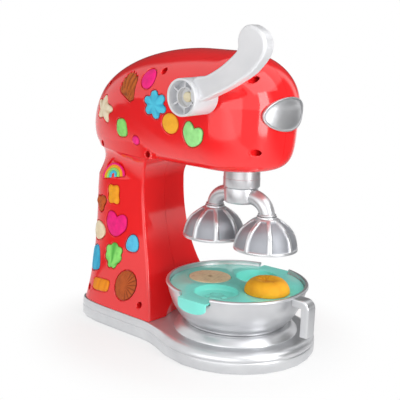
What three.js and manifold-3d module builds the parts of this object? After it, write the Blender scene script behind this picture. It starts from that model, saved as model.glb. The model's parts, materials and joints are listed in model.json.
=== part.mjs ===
// A toy stand mixer for modelling clay. A hollow C-shaped housing in two shells stands on a silver base.
// A side crank turns a crown gear, which turns a pinion on the vertical spindle with the two bell beaters.
// A bowl with a lift-out mould tray stands under them, and the left shell has clay pressed into moulds.
// Millimetres, +Z up, nose towards -Y, crank on the -X side. The origin is on the table under the spindle.
import * as THREE from "three";
import { mergeVertices } from "three/addons/utils/BufferGeometryUtils.js";
import Module from "manifold-3d";

const wasm = await Module();
wasm.setup();

// General
const clearance = 0.3; // between pieces that touch or turn
const wall = 2.6; // housing walls
const edge = 1; // bevels on collars and rims
const overrun = 1; // how far a cut goes past what it cuts
const quarter_turn = Math.PI / 2;
const full_turn = 2 * Math.PI;
// Sides of round pieces
const facets = { bowl: 28, fine: 24, plain: 20, cup: 16, medium: 14, small: 8, tiny: 6 };

// Base
const base_radius = 79.5;
const base_waist = 60.5; // half width
const base_waist_y = 74;
const base_flare_y = 28; // where the flare leaves the disc
const base_flare_pull_share = 0.38;
const base_rear_y = 180.5;
const base_top = 20;
const base_wall = 2.4;
const plate_thickness = 2;
const plate_inset = 1.6;
const groove_height = 11;
const groove_width = 1.2;
const groove_depth = 0.8;
const shoulder_run = 9.2; // how far the top edge is rounded in at the front
const shoulder_rear_share = 0.14;
const plinth_border = 17.5; // from the base's side to the plinth
const plinth_slope = 8;
const plinth_rise = 7;
const plinth_slope_share = [[0, 0.09], [0.25, 0.35], [0.75, 0.91], [1, 1]]; // inwards and upwards
const plinth_radius = base_radius - plinth_border;
const plinth_top_radius = plinth_radius - plinth_slope;
const plinth_top = base_top + plinth_rise;
const base_boss_radius = 5;
const base_screw_length = 12;
const base_screw_long = 32;
const base_screw_front = [32, -30];
const base_screw_rear_y = 125;

// Bowl
const bowl_turn_deg = 3; // how far the bowl stands turned on its plinth
const bowl_height = 40.4; // from the plinth to the rim
const rim_radius = 70.7;
const rim_top = plinth_top + bowl_height;
const rim_bead = 2.8;
const rim_lip = 1.2;
const bowl_wall = 2.2;
const bowl_foot_inset = 3.3; // from the plinth's edge
const bowl_foot_radius = plinth_top_radius - bowl_foot_inset;
const bowl_foot_height = 3.6;
const belly_inset = 6.2; // the wall's control point, in from the rim
const belly_rise = 13; // and up from the plinth
const notch_width = 36;
const notch_depth = 6.4;
const handle_reach = 17; // beyond the rim
const handle_drop = 37;
const handle_width = 14;
const handle_depth = 8;
const handle_wall = 2;
const handle_bend = 9;
const bowl_room = 1.9; // from the bowl's rim to the hollow in the column's foot
const bowl_recess = rim_radius + bowl_room;

// Tray and the clay in it
const tray_seat = 0.8; // over the bottom of the rim's notches
const tray_height = rim_top - notch_depth + tray_seat;
const tray_thickness = 1.8;
const tray_gap = 0.9; // to the bowl's wall
const mould_radius = 21.5;
const mould_wall = 1.6;
const moulds = {
  // where each mould lies from the axis, and its depth
  cookie: { place: [0, 34], depth: 7 },
  donut: { place: [0, -36], depth: 9 },
  deep: { place: [34, 0], depth: 16 },
  shallow: { place: [-34, 0], depth: 6 },
};
const tab_width = 33;
const tab_drop = 13;
const cookie_thickness = 7.6;
const cookie_hole = 1.6;
const donut_height = 21.5;
const donut_radius = 22.2;
const donut_hole_share = 0.5; // radius of the ring's middle
const donut_dimple_share = 0.35; // depth of the hole's bottom below the ring's top

// Spindle and beaters, from the bowl up to the head's floor
const bell_lift = 39.2; // from the bowl's rim to the bells' rims
const bell_height = 30.4;
const bell_drop = 10; // from the carrier's collar to the bells' necks
const hub_height = 15.4; // the beater carrier's collar
const collar_drop = 18.6; // from the head's floor to the bottom of the spindle's collar
const bell_rim = rim_top + bell_lift;
const bell_neck = bell_rim + bell_height;
const hub_bottom = bell_neck + bell_drop;
const collar_bottom = hub_bottom + hub_height;
const head_floor = collar_bottom + collar_drop;
const collar_radius = 18.1;
const hub_radius = 16.6;
const hub_bevel = 2;
const shaft_radius = 4;
const stem_radius = 7.7;
const stem_overlap = 4; // how deep the stems start in the collar
const bell_radius = 31;
const bell_gap = 1.6; // from each bell to the middle plane between them
const bell_circle = bell_radius + bell_gap; // distance of each bell from the axis
const bell_neck_radius = 9.8;
const bell_wall = 1.8;
const bell_ribs = 8;
const rib_height = 1.5;
const rib_places_share = { crest: [-0.1, 0.1], foot: [0.14, 0.86] }; // of the space from rib to rib
const bell_form_share = [
  // across and upwards, from the rim to the neck
  [1, 0], [1, 0.06], [0.98, 0.2], [0.91, 0.45], [0.76, 0.69], [0.52, 0.89], [0.33, 1],
];

// Gears: the crown gear on the crank's axis stands over the pinion on the spindle
const crank_rise = 73; // from the head's floor to the crank's axis
const crank_height = head_floor + crank_rise;
const tooth_module = 2;
const crown_teeth = 24;
const pinion_teeth = 12;
const gear_face = 7;
const tooth_backlash = 0.9;
const tooth_clearance = 0.4;
const tooth_slope_deg = 20;
const pinion_root_share = 0.8; // width of the pinion's tooth at its root
const crown_web = 4;
const crown_reach = crown_teeth * tooth_module / 2 + gear_face / 2 + edge;
const pinion_height = crank_height - crown_teeth * tooth_module / 2; // of its middle
const spindle_bush_radius = 10;
const spindle_boss_radius = 14;
const spindle_boss_drop = 22; // from the pinion's middle to the boss's top
const spindle_boss_top = pinion_height - spindle_boss_drop;

// Housing, head: stacked plan outlines, round at the nose and drawn out to the tail
const crown_room = 9.5; // from the crown gear to the head's top
const widest_drop = 11; // from the crank's axis to the head's widest outline
const tail_rise = 22; // from the head's floor to where the tail reaches furthest back
const tail_overhang = 9.6; // of the tail over the column
const head_half_width = 58;
const head_top = crank_height + crown_reach + crown_room;
const head_widest = crank_height - widest_drop;
const tail_height = head_floor + tail_rise;
const nose_y = 7.5; // middle of the nose's round end
const ridge_y = 45; // where the top is highest
const head_ends_share = { floor: 0.87, crown: 0.955 }; // of a quarter turn, to the end outlines
const chin_taper_share = 0.05;
const chin_power = 6;
const tail_power = 3;

// Housing, column: plan outlines with a flat front and a round rear, flaring to the foot
const foot_border = 2; // of the base beside the foot
const rear_border = 2.5; // of the base behind the foot
const foot_overlap = 8.1; // of the foot's front and the hollow for the bowl
const waist_drop = 27; // from the head's floor to where the fillet under it starts
const column_tuck = 19; // hidden in the head
const foot_height = base_top + clearance;
const foot_half_width = base_waist - foot_border;
const foot_front_y = bowl_recess - foot_overlap;
const waist_half_width = 32;
const waist_front_y = 103;
const waist_height = head_floor - waist_drop;
const waist_rear_spread = 17; // how much wider the rear of the waist is
const throat_radius = 30; // fillet between the column's front and the head's underside
const shoulder_inset = 6; // in from the head's side, at the top of the fillet
const shoulder_half_width = head_half_width - shoulder_inset;
const shoulder_tuck = 9; // how far the column's hidden top stays inside the head
const neck_dip = 2; // hollow behind the neck
const column_rear_y = base_rear_y - rear_border;
const column_top = head_floor + column_tuck;
const column_edge = 3;
const column_power = 3;
const foot_power = 5.5;
const tail_y = column_rear_y + tail_overhang;

// Screws and their wells
const well_radius = 3.2;
const boss_radius = 5.4;
const screw_head_radius = 2.7;
const screw_head_height = 2.4;
const screw_head_taper_share = 0.8;
const screw_radius = 1.4;
const screw_grip = 11; // shank length in the far boss
const well_floor = 4; // plastic under the screw head
const screw_places_share = {
  // y as a share of the head's length, z as a share of the head's top
  body_screw_crown: [0.335, 0.926],
  body_screw_tail: [0.775, 0.86],
  body_screw_nape: [0.835, 0.643],
  body_screw_throat: [0.415, 0.645],
  body_screw_nose: [-0.165, 0.922],
  body_screw_chin: [-0.205, 0.697],
  body_screw_foot_front: [0.45, 0.108],
  body_screw_foot_rear: [0.88, 0.108],
};

// Crank
const crank_stand_off = 1.6; // from the head's side to the hub
const crank_hub_length = 31.4;
const crank_hub_radius = 17;
const crank_hub_inner = head_half_width + crank_stand_off;
const crank_end = crank_hub_inner + crank_hub_length; // the hub's open end
const crank_hub_wall = 2;
const crank_cup_depth = 11;
const crank_ring_radius = 9.4;
const crank_ring_wall = 1;
const crank_ring_depth = 6;
const crank_ribs = 6;
const crank_rib_thickness = 1.4;
const arm_set_back = 5; // from the hub's open end
const arm_outer = crank_end - arm_set_back;
const arm_thickness = 12;
const arm_reach = 86;
const arm_rise = 66;
const arm_shell = 2.4;
const arm_ribs = 3;
const arm_points_share = [
  // along the reach and the rise, round the arm from under the hub
  [0.1, -0.06], [0.46, 0.12], [0.77, 0.35], [0.9, 0.5], [0.98, 0.64], [1, 0.77], [0.965, 0.89], [0.87, 0.975],
  [0.77, 1], [0.69, 0.93], [0.655, 0.82], [0.66, 0.71], [0.62, 0.63], [0.46, 0.46], [0.27, 0.32], [0.1, 0.25],
];
const cap_radius = 4.6;
const cap_thickness = 3;
const crank_bush_radius = 7.5;
const crank_bush_flange = 10;
const crank_boss_radius = 11.5;
const crank_boss_depth = 14;
const end_boss_depth = 22;
const end_bush_radius = 6.5;

// Nose plate
const nose_plate_width = 58;
const nose_plate_height = 31;
const nose_plate_thickness = 2.2;
const nose_plate_rim = 1.2; // width and height of its raised edge
const nose_plate_drop = 16; // from the crank's axis to its middle
const nose_plate_z = crank_height - nose_plate_drop;

// Clay pressed into the left shell
const clay_width = 20; // of a mould of size 1
const clay_proud = 0.8;
const clay_depth = 1.4;
const pocket_depth = 1.7;
const pocket_reach = 12; // how far a mould's walls are followed to each side of its place
const heart_waves_share = [0.448, -0.172, -0.069, -0.034];
const heart_lift_share = 0.086;
const heart_power = 1.9; // how pointed a heart is below
const fan_ribs = 4;
const fan_share = { spread: 0.62, width: 0.62, scallop: 0.05, apex: 0.12 };
const arch_share = { low: -0.2, inner_half: 0.16, inner_top: -0.14 };

const colours = {
  red: { color: 0xf0222c, roughness: 0.18, metalness: 0 },
  silver: { color: 0xc9ccce, roughness: 0.3, metalness: 0.7 },
  pale: { color: 0xe6e6ea, roughness: 0.35, metalness: 0 },
  cream: { color: 0xf0e3bd, roughness: 0.6, metalness: 0 },
  teal: { color: 0x6fdccc, roughness: 0.15, metalness: 0 },
  steel: { color: 0x9a9da1, roughness: 0.3, metalness: 1 },
  white: { color: 0xe9e9e2, roughness: 0.5, metalness: 0 },
  tan: { color: 0xd6bd90, roughness: 0.8, metalness: 0 },
  orange: { color: 0xffa31c, roughness: 0.7, metalness: 0 },
  magenta: { color: 0xff1f86, roughness: 0.7, metalness: 0 },
  cyan: { color: 0x52d2ea, roughness: 0.7, metalness: 0 },
  green: { color: 0x9bf093, roughness: 0.7, metalness: 0 },
  yellow: { color: 0xffc02e, roughness: 0.7, metalness: 0 },
  brown: { color: 0xc9642a, roughness: 0.8, metalness: 0 },
};

// A closed three.js geometry as a manifold solid, turned inside out where its faces point inwards.
function solid(geometry) {
  const bare = geometry.clone();
  bare.deleteAttribute("normal");
  bare.deleteAttribute("uv");
  const merged = mergeVertices(bare, 1e-4);
  const triVerts = new Uint32Array(merged.index.array);
  const vertProperties = new Float32Array(merged.attributes.position.array);
  const made = new wasm.Manifold(new wasm.Mesh({ numProp: 3, vertProperties, triVerts }));
  if (made.volume() >= 0) return made;
  for (let i = 0; i < triVerts.length; i += 3) {
    [triVerts[i + 1], triVerts[i + 2]] = [triVerts[i + 2], triVerts[i + 1]];
  }
  return new wasm.Manifold(new wasm.Mesh({ numProp: 3, vertProperties, triVerts }));
}

const join = (...pieces) => pieces.reduce((all, piece) => all.add(piece));
const cut = (body, ...tools) => tools.reduce((left, tool) => left.subtract(tool), body);

// A named mesh of a solid, in one of the colours above.
function piece(name, made, colour) {
  const found = made.getMesh();
  const geometry = new THREE.BufferGeometry();
  geometry.setAttribute("position", new THREE.BufferAttribute(new Float32Array(found.vertProperties), 3));
  geometry.setIndex(new THREE.BufferAttribute(new Uint32Array(found.triVerts), 1));
  geometry.computeVertexNormals();
  const mesh = new THREE.Mesh(geometry, new THREE.MeshStandardMaterial(colours[colour]));
  mesh.name = name;
  return mesh;
}

// A solid through rings of [x, y, z] points, each ring with as many points, closed at both ends.
function loft(rings) {
  const count = rings[0].length;
  const points = rings.flat();
  const index = [];
  rings.slice(1).forEach((_, level) => {
    for (let i = 0; i < count; i += 1) {
      const a = level * count + i;
      const b = level * count + ((i + 1) % count);
      index.push(a, b, a + count, b, b + count, a + count);
    }
  });
  [rings[0], rings.at(-1)].forEach((ring, end) => {
    const middle = ring.reduce((sum, p) => sum.map((v, k) => v + p[k] / count), [0, 0, 0]);
    const start = end * (rings.length - 1) * count;
    for (let i = 0; i < count; i += 1) {
      const pair = [start + i, start + ((i + 1) % count)];
      index.push(...(end ? pair : pair.reverse()), points.length);
    }
    points.push(middle);
  });
  const geometry = new THREE.BufferGeometry();
  geometry.setAttribute("position", new THREE.Float32BufferAttribute(points.flat(), 3));
  geometry.setIndex(index);
  return solid(geometry);
}

// A solid of revolution about Z from [radius, height] points that start and end on the axis.
function turned(profile, segments = facets.fine, x = 0, y = 0) {
  const points = profile.map(([r, z]) => new THREE.Vector2(r, z));
  const geometry = new THREE.LatheGeometry(points, segments);
  geometry.rotateX(quarter_turn);
  geometry.translate(x, y, 0);
  return solid(geometry);
}

// A ring about Z from closed [radius, height] points off the axis.
const ring = (profile, segments) => turned([...profile, profile[0]], segments);

// A straight extrusion of [u, v] points from w = low to w = high, in the frame of a matrix.
function prism(outline, low, high, frame = new THREE.Matrix4()) {
  const shape = new THREE.Shape(outline.map(([u, v]) => new THREE.Vector2(u, v)));
  const geometry = new THREE.ExtrudeGeometry(shape, { depth: high - low, bevelEnabled: false });
  geometry.translate(0, 0, low);
  geometry.applyMatrix4(frame);
  return solid(geometry);
}

// The frame of an outline seen from outside, along a level direction that is turned from -X towards +Y.
function side_frame(turn, at = [0, 0, 0]) {
  const outward = new THREE.Vector3(-Math.cos(turn), Math.sin(turn), 0);
  const up = new THREE.Vector3(0, 0, 1);
  const right = new THREE.Vector3().crossVectors(up, outward);
  return new THREE.Matrix4().makeBasis(right, up, outward).setPosition(...at);
}

// A round bar along X, from one place to another.
function bar_x(radius, from, to, y = 0, z = 0, segments = facets.plain) {
  const geometry = new THREE.CylinderGeometry(radius, radius, to - from, segments);
  geometry.rotateZ(quarter_turn);
  geometry.translate((from + to) / 2, y, z);
  return solid(geometry);
}

// A round bar along Z.
function bar_z(radius, from, to, x = 0, y = 0, segments = facets.plain) {
  const geometry = new THREE.CylinderGeometry(radius, radius, to - from, segments);
  geometry.rotateX(quarter_turn);
  geometry.translate(x, y, (from + to) / 2);
  return solid(geometry);
}

// A box between two corners, turned about X.
function box(low, high, turn = 0) {
  const size = high.map((v, k) => v - low[k]);
  const geometry = new THREE.BoxGeometry(...size);
  geometry.translate(...low.map((v, k) => v + size[k] / 2));
  geometry.rotateX(turn);
  return solid(geometry);
}

const steps = (count) => Array.from({ length: count + 1 }, (_, i) => i / count);
const mix = (a, b, share) => a + (b - a) * share;
const clamp = (value) => Math.min(1, Math.max(0, value));
const mirrored = (half) => [...half, ...half.slice(1, -1).reverse().map(([x, y]) => [-x, y])];
const at_level = (outline, z) => outline.map(([x, y]) => [x, y, z]);

// The outline moved in square to itself, by an amount that each point's place may change.
function inset(outline, amount) {
  const count = outline.length;
  return outline.map(([x, y], i) => {
    const [ax, ay] = outline[(i + count - 1) % count];
    const [bx, by] = outline[(i + 1) % count];
    const length = Math.hypot(bx - ax, by - ay);
    const moved = typeof amount === "function" ? amount(y) : amount;
    return [x - ((by - ay) / length) * moved, y + ((bx - ax) / length) * moved];
  });
}

// The head's half width at a height, for an outer surface moved out by grow.
function head_half(z, grow) {
  if (z >= head_widest) {
    const rise = (z - head_widest) / (head_top - head_widest + grow);
    return (head_half_width + grow) * Math.sqrt(clamp(1 - rise ** 2));
  }
  const drop = clamp((head_widest - z) / (head_widest - head_floor + grow));
  const taper = 1 - chin_taper_share * drop;
  return (head_half_width + grow) * taper * (1 - drop ** chin_power) ** (1 / chin_power);
}

function tail_reach(z, grow) {
  const rise = (z - tail_height) / (head_top - tail_height + grow);
  return ridge_y + (tail_y - ridge_y + grow) * Math.sqrt(clamp(1 - rise ** 2));
}

// The head's plan at a height: a half circle at the nose and a squarer curve to the tail.
function head_outline(z, grow) {
  const half = head_half(z, grow);
  const tail = tail_reach(z, grow);
  const nose = steps(5).map((s) => {
    const turn = s * quarter_turn;
    return [half * Math.sin(turn), nose_y - half * Math.cos(turn)];
  });
  const side = steps(6).slice(1).map((s) => {
    const turn = s * quarter_turn;
    const x = half * Math.cos(turn) ** (2 / tail_power);
    return [s < 1 ? x : 0, nose_y + (tail - nose_y) * Math.sin(turn) ** (2 / tail_power)];
  });
  return mirrored([...nose, ...side]);
}

function head(grow) {
  const floor_levels = steps(3).slice(0, -1).map((s) => {
    const turn = mix(head_ends_share.floor, 0, s) * quarter_turn;
    return head_widest - (head_widest - head_floor + grow) * Math.sin(turn) ** (2 / chin_power);
  });
  const crown_levels = steps(5).map((s) => {
    const turn = s * head_ends_share.crown * quarter_turn;
    return head_widest + (head_top - head_widest + grow) * Math.sin(turn);
  });
  return loft([...floor_levels, ...crown_levels].map((z) => at_level(head_outline(z, grow), z)));
}

// The column's plan at a height: front half width and place, rear half width and place, and squareness.
function column_plan(z, grow) {
  const fall = clamp((waist_height - z) / (waist_height - foot_height));
  const rise = clamp((z - waist_height) / throat_radius);
  const lean = 1 - Math.sqrt(1 - rise ** 2);
  const radius = throat_radius - grow;
  const climb = Math.min(radius, Math.max(0, z - waist_height));
  const throat = waist_front_y - throat_radius + Math.sqrt(radius ** 2 - climb ** 2);
  const waist = mix(waist_half_width, shoulder_half_width, lean);
  const front_half = waist + (foot_half_width - waist_half_width) * fall ** 3;
  const spread = mix(mix(waist_rear_spread, -shoulder_tuck, rise), 0, fall ** 2);
  const from_neck = Math.abs(z - waist_height - throat_radius / 2) / throat_radius;
  const dip = neck_dip * Math.sin(clamp(1 - from_neck) * quarter_turn);
  const rear = mix(column_rear_y, tail_reach(z, 0) - shoulder_tuck / 2, rise ** 2);
  return {
    front: throat - (waist_front_y - foot_front_y) * fall ** 2,
    rear: rear - dip + grow,
    front_half: front_half + grow,
    rear_half: front_half + spread + grow,
    power: mix(column_power, foot_power, fall ** 2),
  };
}

function column_outline(z, grow) {
  const plan = column_plan(z, grow);
  const corner = steps(2).map((s) => {
    const turn = s * quarter_turn;
    const x = plan.front_half - column_edge * (1 - Math.sin(turn));
    return [x, plan.front + column_edge * (1 - Math.cos(turn))];
  });
  const start = plan.front + column_edge;
  const side = steps(6).slice(1).map((s) => {
    const turn = s * quarter_turn;
    const along = Math.sin(turn) ** (2 / plan.power);
    const x = mix(plan.front_half, plan.rear_half, along) * Math.cos(turn) ** (2 / plan.power);
    return [s < 1 ? x : 0, start + (plan.rear - start) * along];
  });
  return mirrored([[0, plan.front], ...corner, ...side]);
}

function column(grow, bottom = foot_height) {
  const lower = steps(4).map((s) => mix(foot_height, waist_height, s));
  const upper = steps(3).slice(1).map((s) => waist_height + throat_radius * Math.sin(s * quarter_turn));
  const rings = [...lower, ...upper, column_top].map((z) => at_level(column_outline(z, grow), z));
  if (bottom < foot_height) rings.unshift(at_level(column_outline(foot_height, grow), bottom));
  return loft(rings);
}

// The housing's outer form moved out by grow, with the hollow for the bowl in its foot.
function housing_form(grow, bottom = foot_height) {
  const recess = bar_z(bowl_recess - grow, bottom - overrun, rim_top + rim_bead, 0, 0, 2 * facets.plain);
  return cut(join(head(grow), column(grow, bottom)), recess);
}

// Half width of the housing's side at a place, to set pieces on it.
function side_half(y, z) {
  const back = clamp((y - nose_y) / (tail_reach(z, 0) - nose_y));
  const half = z > head_floor ? head_half(z, 0) : 0;
  const of_head = half * (1 - back ** tail_power) ** (1 / tail_power);
  const plan = column_plan(z, 0);
  const along = (y - plan.front - column_edge) / (plan.rear - plan.front - column_edge);
  if (along < 0 || z > column_top) return of_head;
  const round = (1 - clamp(along) ** plan.power) ** (1 / plan.power);
  return Math.max(of_head, mix(plan.front_half, plan.rear_half, along) * round);
}

// Outlines of the clay moulds, one unit wide and one unit tall, seen from outside.
const polar = (count, radius) => steps(count).slice(1).map((s) => {
  const turn = s * full_turn;
  return [-radius(turn) * Math.sin(turn) / 2, radius(turn) * Math.cos(turn) / 2];
});

function lobed(lobes, depth_share, count) {
  return polar(count, (turn) => (1 + depth_share * Math.cos(lobes * turn)) / (1 + depth_share));
}

function squared(power, count) {
  return polar(count, (turn) => {
    const sum = Math.abs(Math.cos(turn)) ** power + Math.abs(Math.sin(turn)) ** power;
    return sum ** (-1 / power);
  });
}

// The outline with its width changed in shares from the bottom to the top.
function tapered(outline, low_share, top_share) {
  return outline.map(([u, v]) => [u * mix(low_share, top_share, v + 1 / 2), v]);
}

function heart() {
  return steps(12).slice(1).map((s) => {
    const turn = s * full_turn;
    const rise = heart_waves_share.reduce((sum, wave, i) => sum + wave * Math.cos((i + 1) * turn), 0);
    const across = Math.sin(turn);
    return [-Math.sign(across) * Math.abs(across) ** heart_power / 2, rise + heart_lift_share];
  });
}

function fan() {
  const rays = steps(2 * fan_ribs).map((s) => {
    const turn = (1 + mix(-fan_share.spread, fan_share.spread, s)) * quarter_turn;
    const reach = 1 - fan_share.scallop * (1 + Math.cos(fan_ribs * s * full_turn));
    return [fan_share.width * reach * Math.cos(turn), reach * Math.sin(turn) - 1 / 2];
  });
  return [...rays, [-fan_share.apex, -1 / 2], [fan_share.apex, -1 / 2]];
}

function arch() {
  const over = steps(6).map((s) => {
    const turn = s * Math.PI;
    return [Math.cos(turn) / 2, mix(arch_share.low, 1 / 2, Math.sin(turn))];
  });
  const under = steps(3).map((s) => {
    const turn = s * Math.PI;
    return [-arch_share.inner_half * Math.cos(turn), mix(-1 / 2, arch_share.inner_top, Math.sin(turn))];
  });
  return [...over, [-1 / 2, -1 / 2], ...under, [1 / 2, -1 / 2]];
}

// Each clay piece: outline, colour, place as shares of the head's length and top, size in units,
// tilt and how far its mould faces to the rear, both in quarter turns.
const clay_share = {
  clay_star: [lobed(5, 0.25, 10), "cream", [0.79, 0.772], [1.7, 1.45], -0.1, 0.24],
  clay_fan_shell: [fan(), "brown", [0.565, 0.863], [1.35, 1.5], 0.22, 0.09],
  clay_oval: [squared(2, 10), "magenta", [0.423, 0.897], [1, 0.95], 0, 0.04],
  clay_blue_flower: [lobed(6, 0.13, 12), "cyan", [0.345, 0.818], [1.5, 1.38], 0.1, 0.03],
  clay_yellow_disc: [squared(2, 10), "yellow", [0.235, 0.764], [1.05, 1.05], 0, 0],
  clay_green_heart: [heart(), "green", [0.087, 0.738], [1.25, 1.15], -0.22, 0],
  clay_gumdrop: [tapered(squared(3, 10), 1, 0.85), "green", [0.612, 0.72], [0.8, 0.95], 0.08, 0.1],
  clay_dot: [squared(2, 6), "magenta", [0.498, 0.686], [0.5, 0.45], 0, 0.05],
  clay_rainbow: [arch(), "magenta", [0.755, 0.56], [1.4, 0.95], 0.14, 0.16],
  clay_sweet: [lobed(4, -0.15, 12), "yellow", [0.742, 0.466], [0.66, 0.92], 0.02, 0.12],
  clay_cluster: [lobed(3, 0.12, 9), "brown", [0.85, 0.425], [0.9, 0.95], 0.1, 0.42],
  clay_magenta_heart: [heart(), "magenta", [0.718, 0.358], [1.35, 1.3], -0.06, 0.1],
  clay_ellipse: [squared(2, 10), "cream", [0.865, 0.32], [1.15, 1.02], 0, 0.45],
  clay_drop: [tapered(squared(2.4, 10), 1, 0.6), "cyan", [0.592, 0.304], [0.95, 0.9], 0, 0.02],
  clay_stick: [squared(5, 8), "cyan", [0.87, 0.217], [0.8, 1.35], 0.1, 0.42],
  clay_green_flower: [tapered(lobed(7, 0.08, 14), 0.7, 1.1), "green", [0.715, 0.245], [1.3, 1.38], 0, 0.08],
  clay_block: [squared(5, 8), "orange", [0.775, 0.133], [1.3, 0.62], 0.05, 0.12],
  clay_scallop: [squared(2, 16), "brown", [0.586, 0.157], [1.42, 1.5], 0, 0],
};

// A clay outline at its true place and size, grown by a gap, through the whole wall.
function clay_prism([outline, , place, size, tilt, turn], grow) {
  const y = place[0] * tail_y;
  const z = place[1] * head_top;
  const roll = tilt * quarter_turn;
  const sized = outline.map(([u, v]) => {
    const wide = u * size[0] * clay_width;
    const tall = v * size[1] * clay_width;
    return [wide * Math.cos(roll) - tall * Math.sin(roll), wide * Math.sin(roll) + tall * Math.cos(roll)];
  });
  const frame = side_frame(turn * quarter_turn, [-side_half(y, z), y, z]);
  return prism(inset(sized, -grow), -pocket_reach, pocket_reach, frame);
}

function screw_place(name) {
  const [y_share, z_share] = screw_places_share[name];
  return [y_share * tail_y, z_share * head_top];
}

// The long base screws stand in posts just inside the foot's side walls.
const foot_screw_x = () => foot_half_width - 2 * boss_radius;

// Screw bosses between the shells, posts for the base screws, and bosses round the spindle and the crank.
function housing_bosses(side) {
  const across = Object.keys(screw_places_share).map((name) => {
    return bar_x(boss_radius, -side, side, ...screw_place(name), facets.tiny);
  });
  const posts = [-1, 1].map((way) => {
    const x = way * foot_screw_x();
    return bar_z(boss_radius, foot_height, base_screw_long + wall, x, base_screw_rear_y, facets.small);
  });
  const inner = -crank_hub_inner + crank_boss_depth;
  return join(
    ...across,
    ...posts,
    bar_z(spindle_boss_radius, head_floor, spindle_boss_top, 0, 0, facets.medium),
    bar_x(crank_boss_radius, -side, inner, 0, crank_height, facets.medium),
    bar_x(crank_boss_radius, head_half_width - end_boss_depth, side, 0, crank_height, facets.medium),
  );
}

// Bores for the bushes and the base screws.
function housing_bores(side) {
  const inner = -crank_hub_inner + crank_boss_depth;
  const posts = [-1, 1].map((way) => {
    const x = way * foot_screw_x();
    const bottom = foot_height - overrun;
    return bar_z(screw_radius + clearance, bottom, base_screw_long, x, base_screw_rear_y, facets.tiny);
  });
  const spindle_top = spindle_boss_top + overrun;
  return join(
    ...posts,
    bar_z(spindle_bush_radius + clearance, head_floor - wall, spindle_top, 0, 0, facets.medium),
    bar_x(crank_bush_radius + clearance, -side, inner + overrun, 0, crank_height, facets.medium),
    bar_x(end_bush_radius + clearance, 0, head_half_width - 2 * wall, 0, crank_height, facets.medium),
  );
}

// Both shells: walls, bosses, wells, clay pockets and the seam on the middle plane.
function housing() {
  const side = head_half_width + foot_half_width;
  const hollow = housing_form(-wall, foot_height - overrun);
  const bosses = housing_bosses(side).intersect(housing_form(-wall / 2));
  const whole = cut(join(cut(housing_form(0), hollow), bosses), housing_bores(side));
  const seam = clearance / 2;
  const far = head_top + side;
  const left_half = box([-far, -far, -far], [-seam, far, far]);
  const right_half = box([seam, -far, -far], [far, far, far]);
  const names = Object.keys(screw_places_share);
  const wells = names.map((name) => {
    const place = screw_place(name);
    const well = bar_x(well_radius, -side, -well_floor, ...place, facets.small);
    return join(well, bar_x(screw_radius + clearance, -well_floor - overrun, overrun, ...place, facets.tiny));
  });
  const pilots = names.map((name) => {
    return bar_x(screw_radius + clearance, -overrun, screw_grip + overrun, ...screw_place(name), facets.tiny);
  });
  const skin = cut(housing_form(clay_proud + overrun), housing_form(-pocket_depth));
  const pockets = Object.values(clay_share).map((clay) => clay_prism(clay, clearance).intersect(skin));
  return [
    piece("left_shell", cut(whole.intersect(left_half), ...wells, ...pockets), "red"),
    piece("right_shell", cut(whole.intersect(right_half), ...pilots), "red"),
  ];
}

function clay_pieces() {
  const layer = cut(housing_form(clay_proud), housing_form(-clay_depth));
  return Object.entries(clay_share).map(([name, clay]) => {
    return piece(name, clay_prism(clay, 0).intersect(layer), clay[1]);
  });
}

// Pan-head screws along +X, their heads at the bottom of the left shell's wells.
function body_screws() {
  const length = well_floor + screw_grip - clearance;
  const profile = [
    [0, -screw_head_height],
    [screw_head_radius * screw_head_taper_share, -screw_head_height],
    [screw_head_radius, 0],
    [screw_radius, 0],
    [screw_radius, length - screw_radius],
    [0, length],
  ];
  return Object.keys(screw_places_share).map((name) => {
    const made = piece(name, turned(profile, facets.tiny), "steel");
    made.rotation.y = quarter_turn;
    made.position.set(-well_floor - clearance, ...screw_place(name));
    return made;
  });
}

// The base's outline: front disc, S-shaped flare, waist and round-cornered rear.
function base_outline() {
  const flare_x = Math.sqrt(base_radius ** 2 - base_flare_y ** 2);
  const flare_turn = Math.atan2(base_flare_y, flare_x);
  const turns = [...steps(6).map((s) => (s - 1) * quarter_turn), flare_turn];
  const disc = turns.map((turn) => [base_radius * Math.cos(turn), base_radius * Math.sin(turn)]);
  const pull = (base_waist_y - base_flare_y) * base_flare_pull_share;
  const flare = new THREE.CubicBezierCurve(
    new THREE.Vector2(flare_x, base_flare_y),
    new THREE.Vector2(flare_x - pull * Math.sin(flare_turn), base_flare_y + pull * Math.cos(flare_turn)),
    new THREE.Vector2(base_waist, base_waist_y - pull),
    new THREE.Vector2(base_waist, base_waist_y),
  );
  const bend = flare.getPoints(4).slice(1).map((p) => [p.x, p.y]);
  const rear = steps(5).slice(1).map((s) => {
    const turn = s * quarter_turn;
    const x = base_waist * Math.cos(turn) ** (2 / foot_power);
    return [s < 1 ? x : 0, mix(base_waist_y, base_rear_y, Math.sin(turn) ** (2 / foot_power))];
  });
  return mirrored([...disc, ...bend, ...rear]);
}

// How much of the shoulder's rounding a place on the base has: all at the front, little under the column.
function shoulder_share(y) {
  const along = clamp((y - base_flare_y / 2) / (base_waist_y - base_flare_y));
  return mix(1, shoulder_rear_share, along * along * (3 - 2 * along));
}

// Places of the base screws, each with its length: short ones under the plinth, long ones into the shells.
function base_screw_places() {
  const [x, y] = base_screw_front;
  const rear_x = foot_screw_x();
  return [
    [-x, y, base_screw_length],
    [x, y, base_screw_length],
    [-rear_x, base_screw_rear_y, base_screw_long],
    [rear_x, base_screw_rear_y, base_screw_long],
  ];
}

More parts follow.
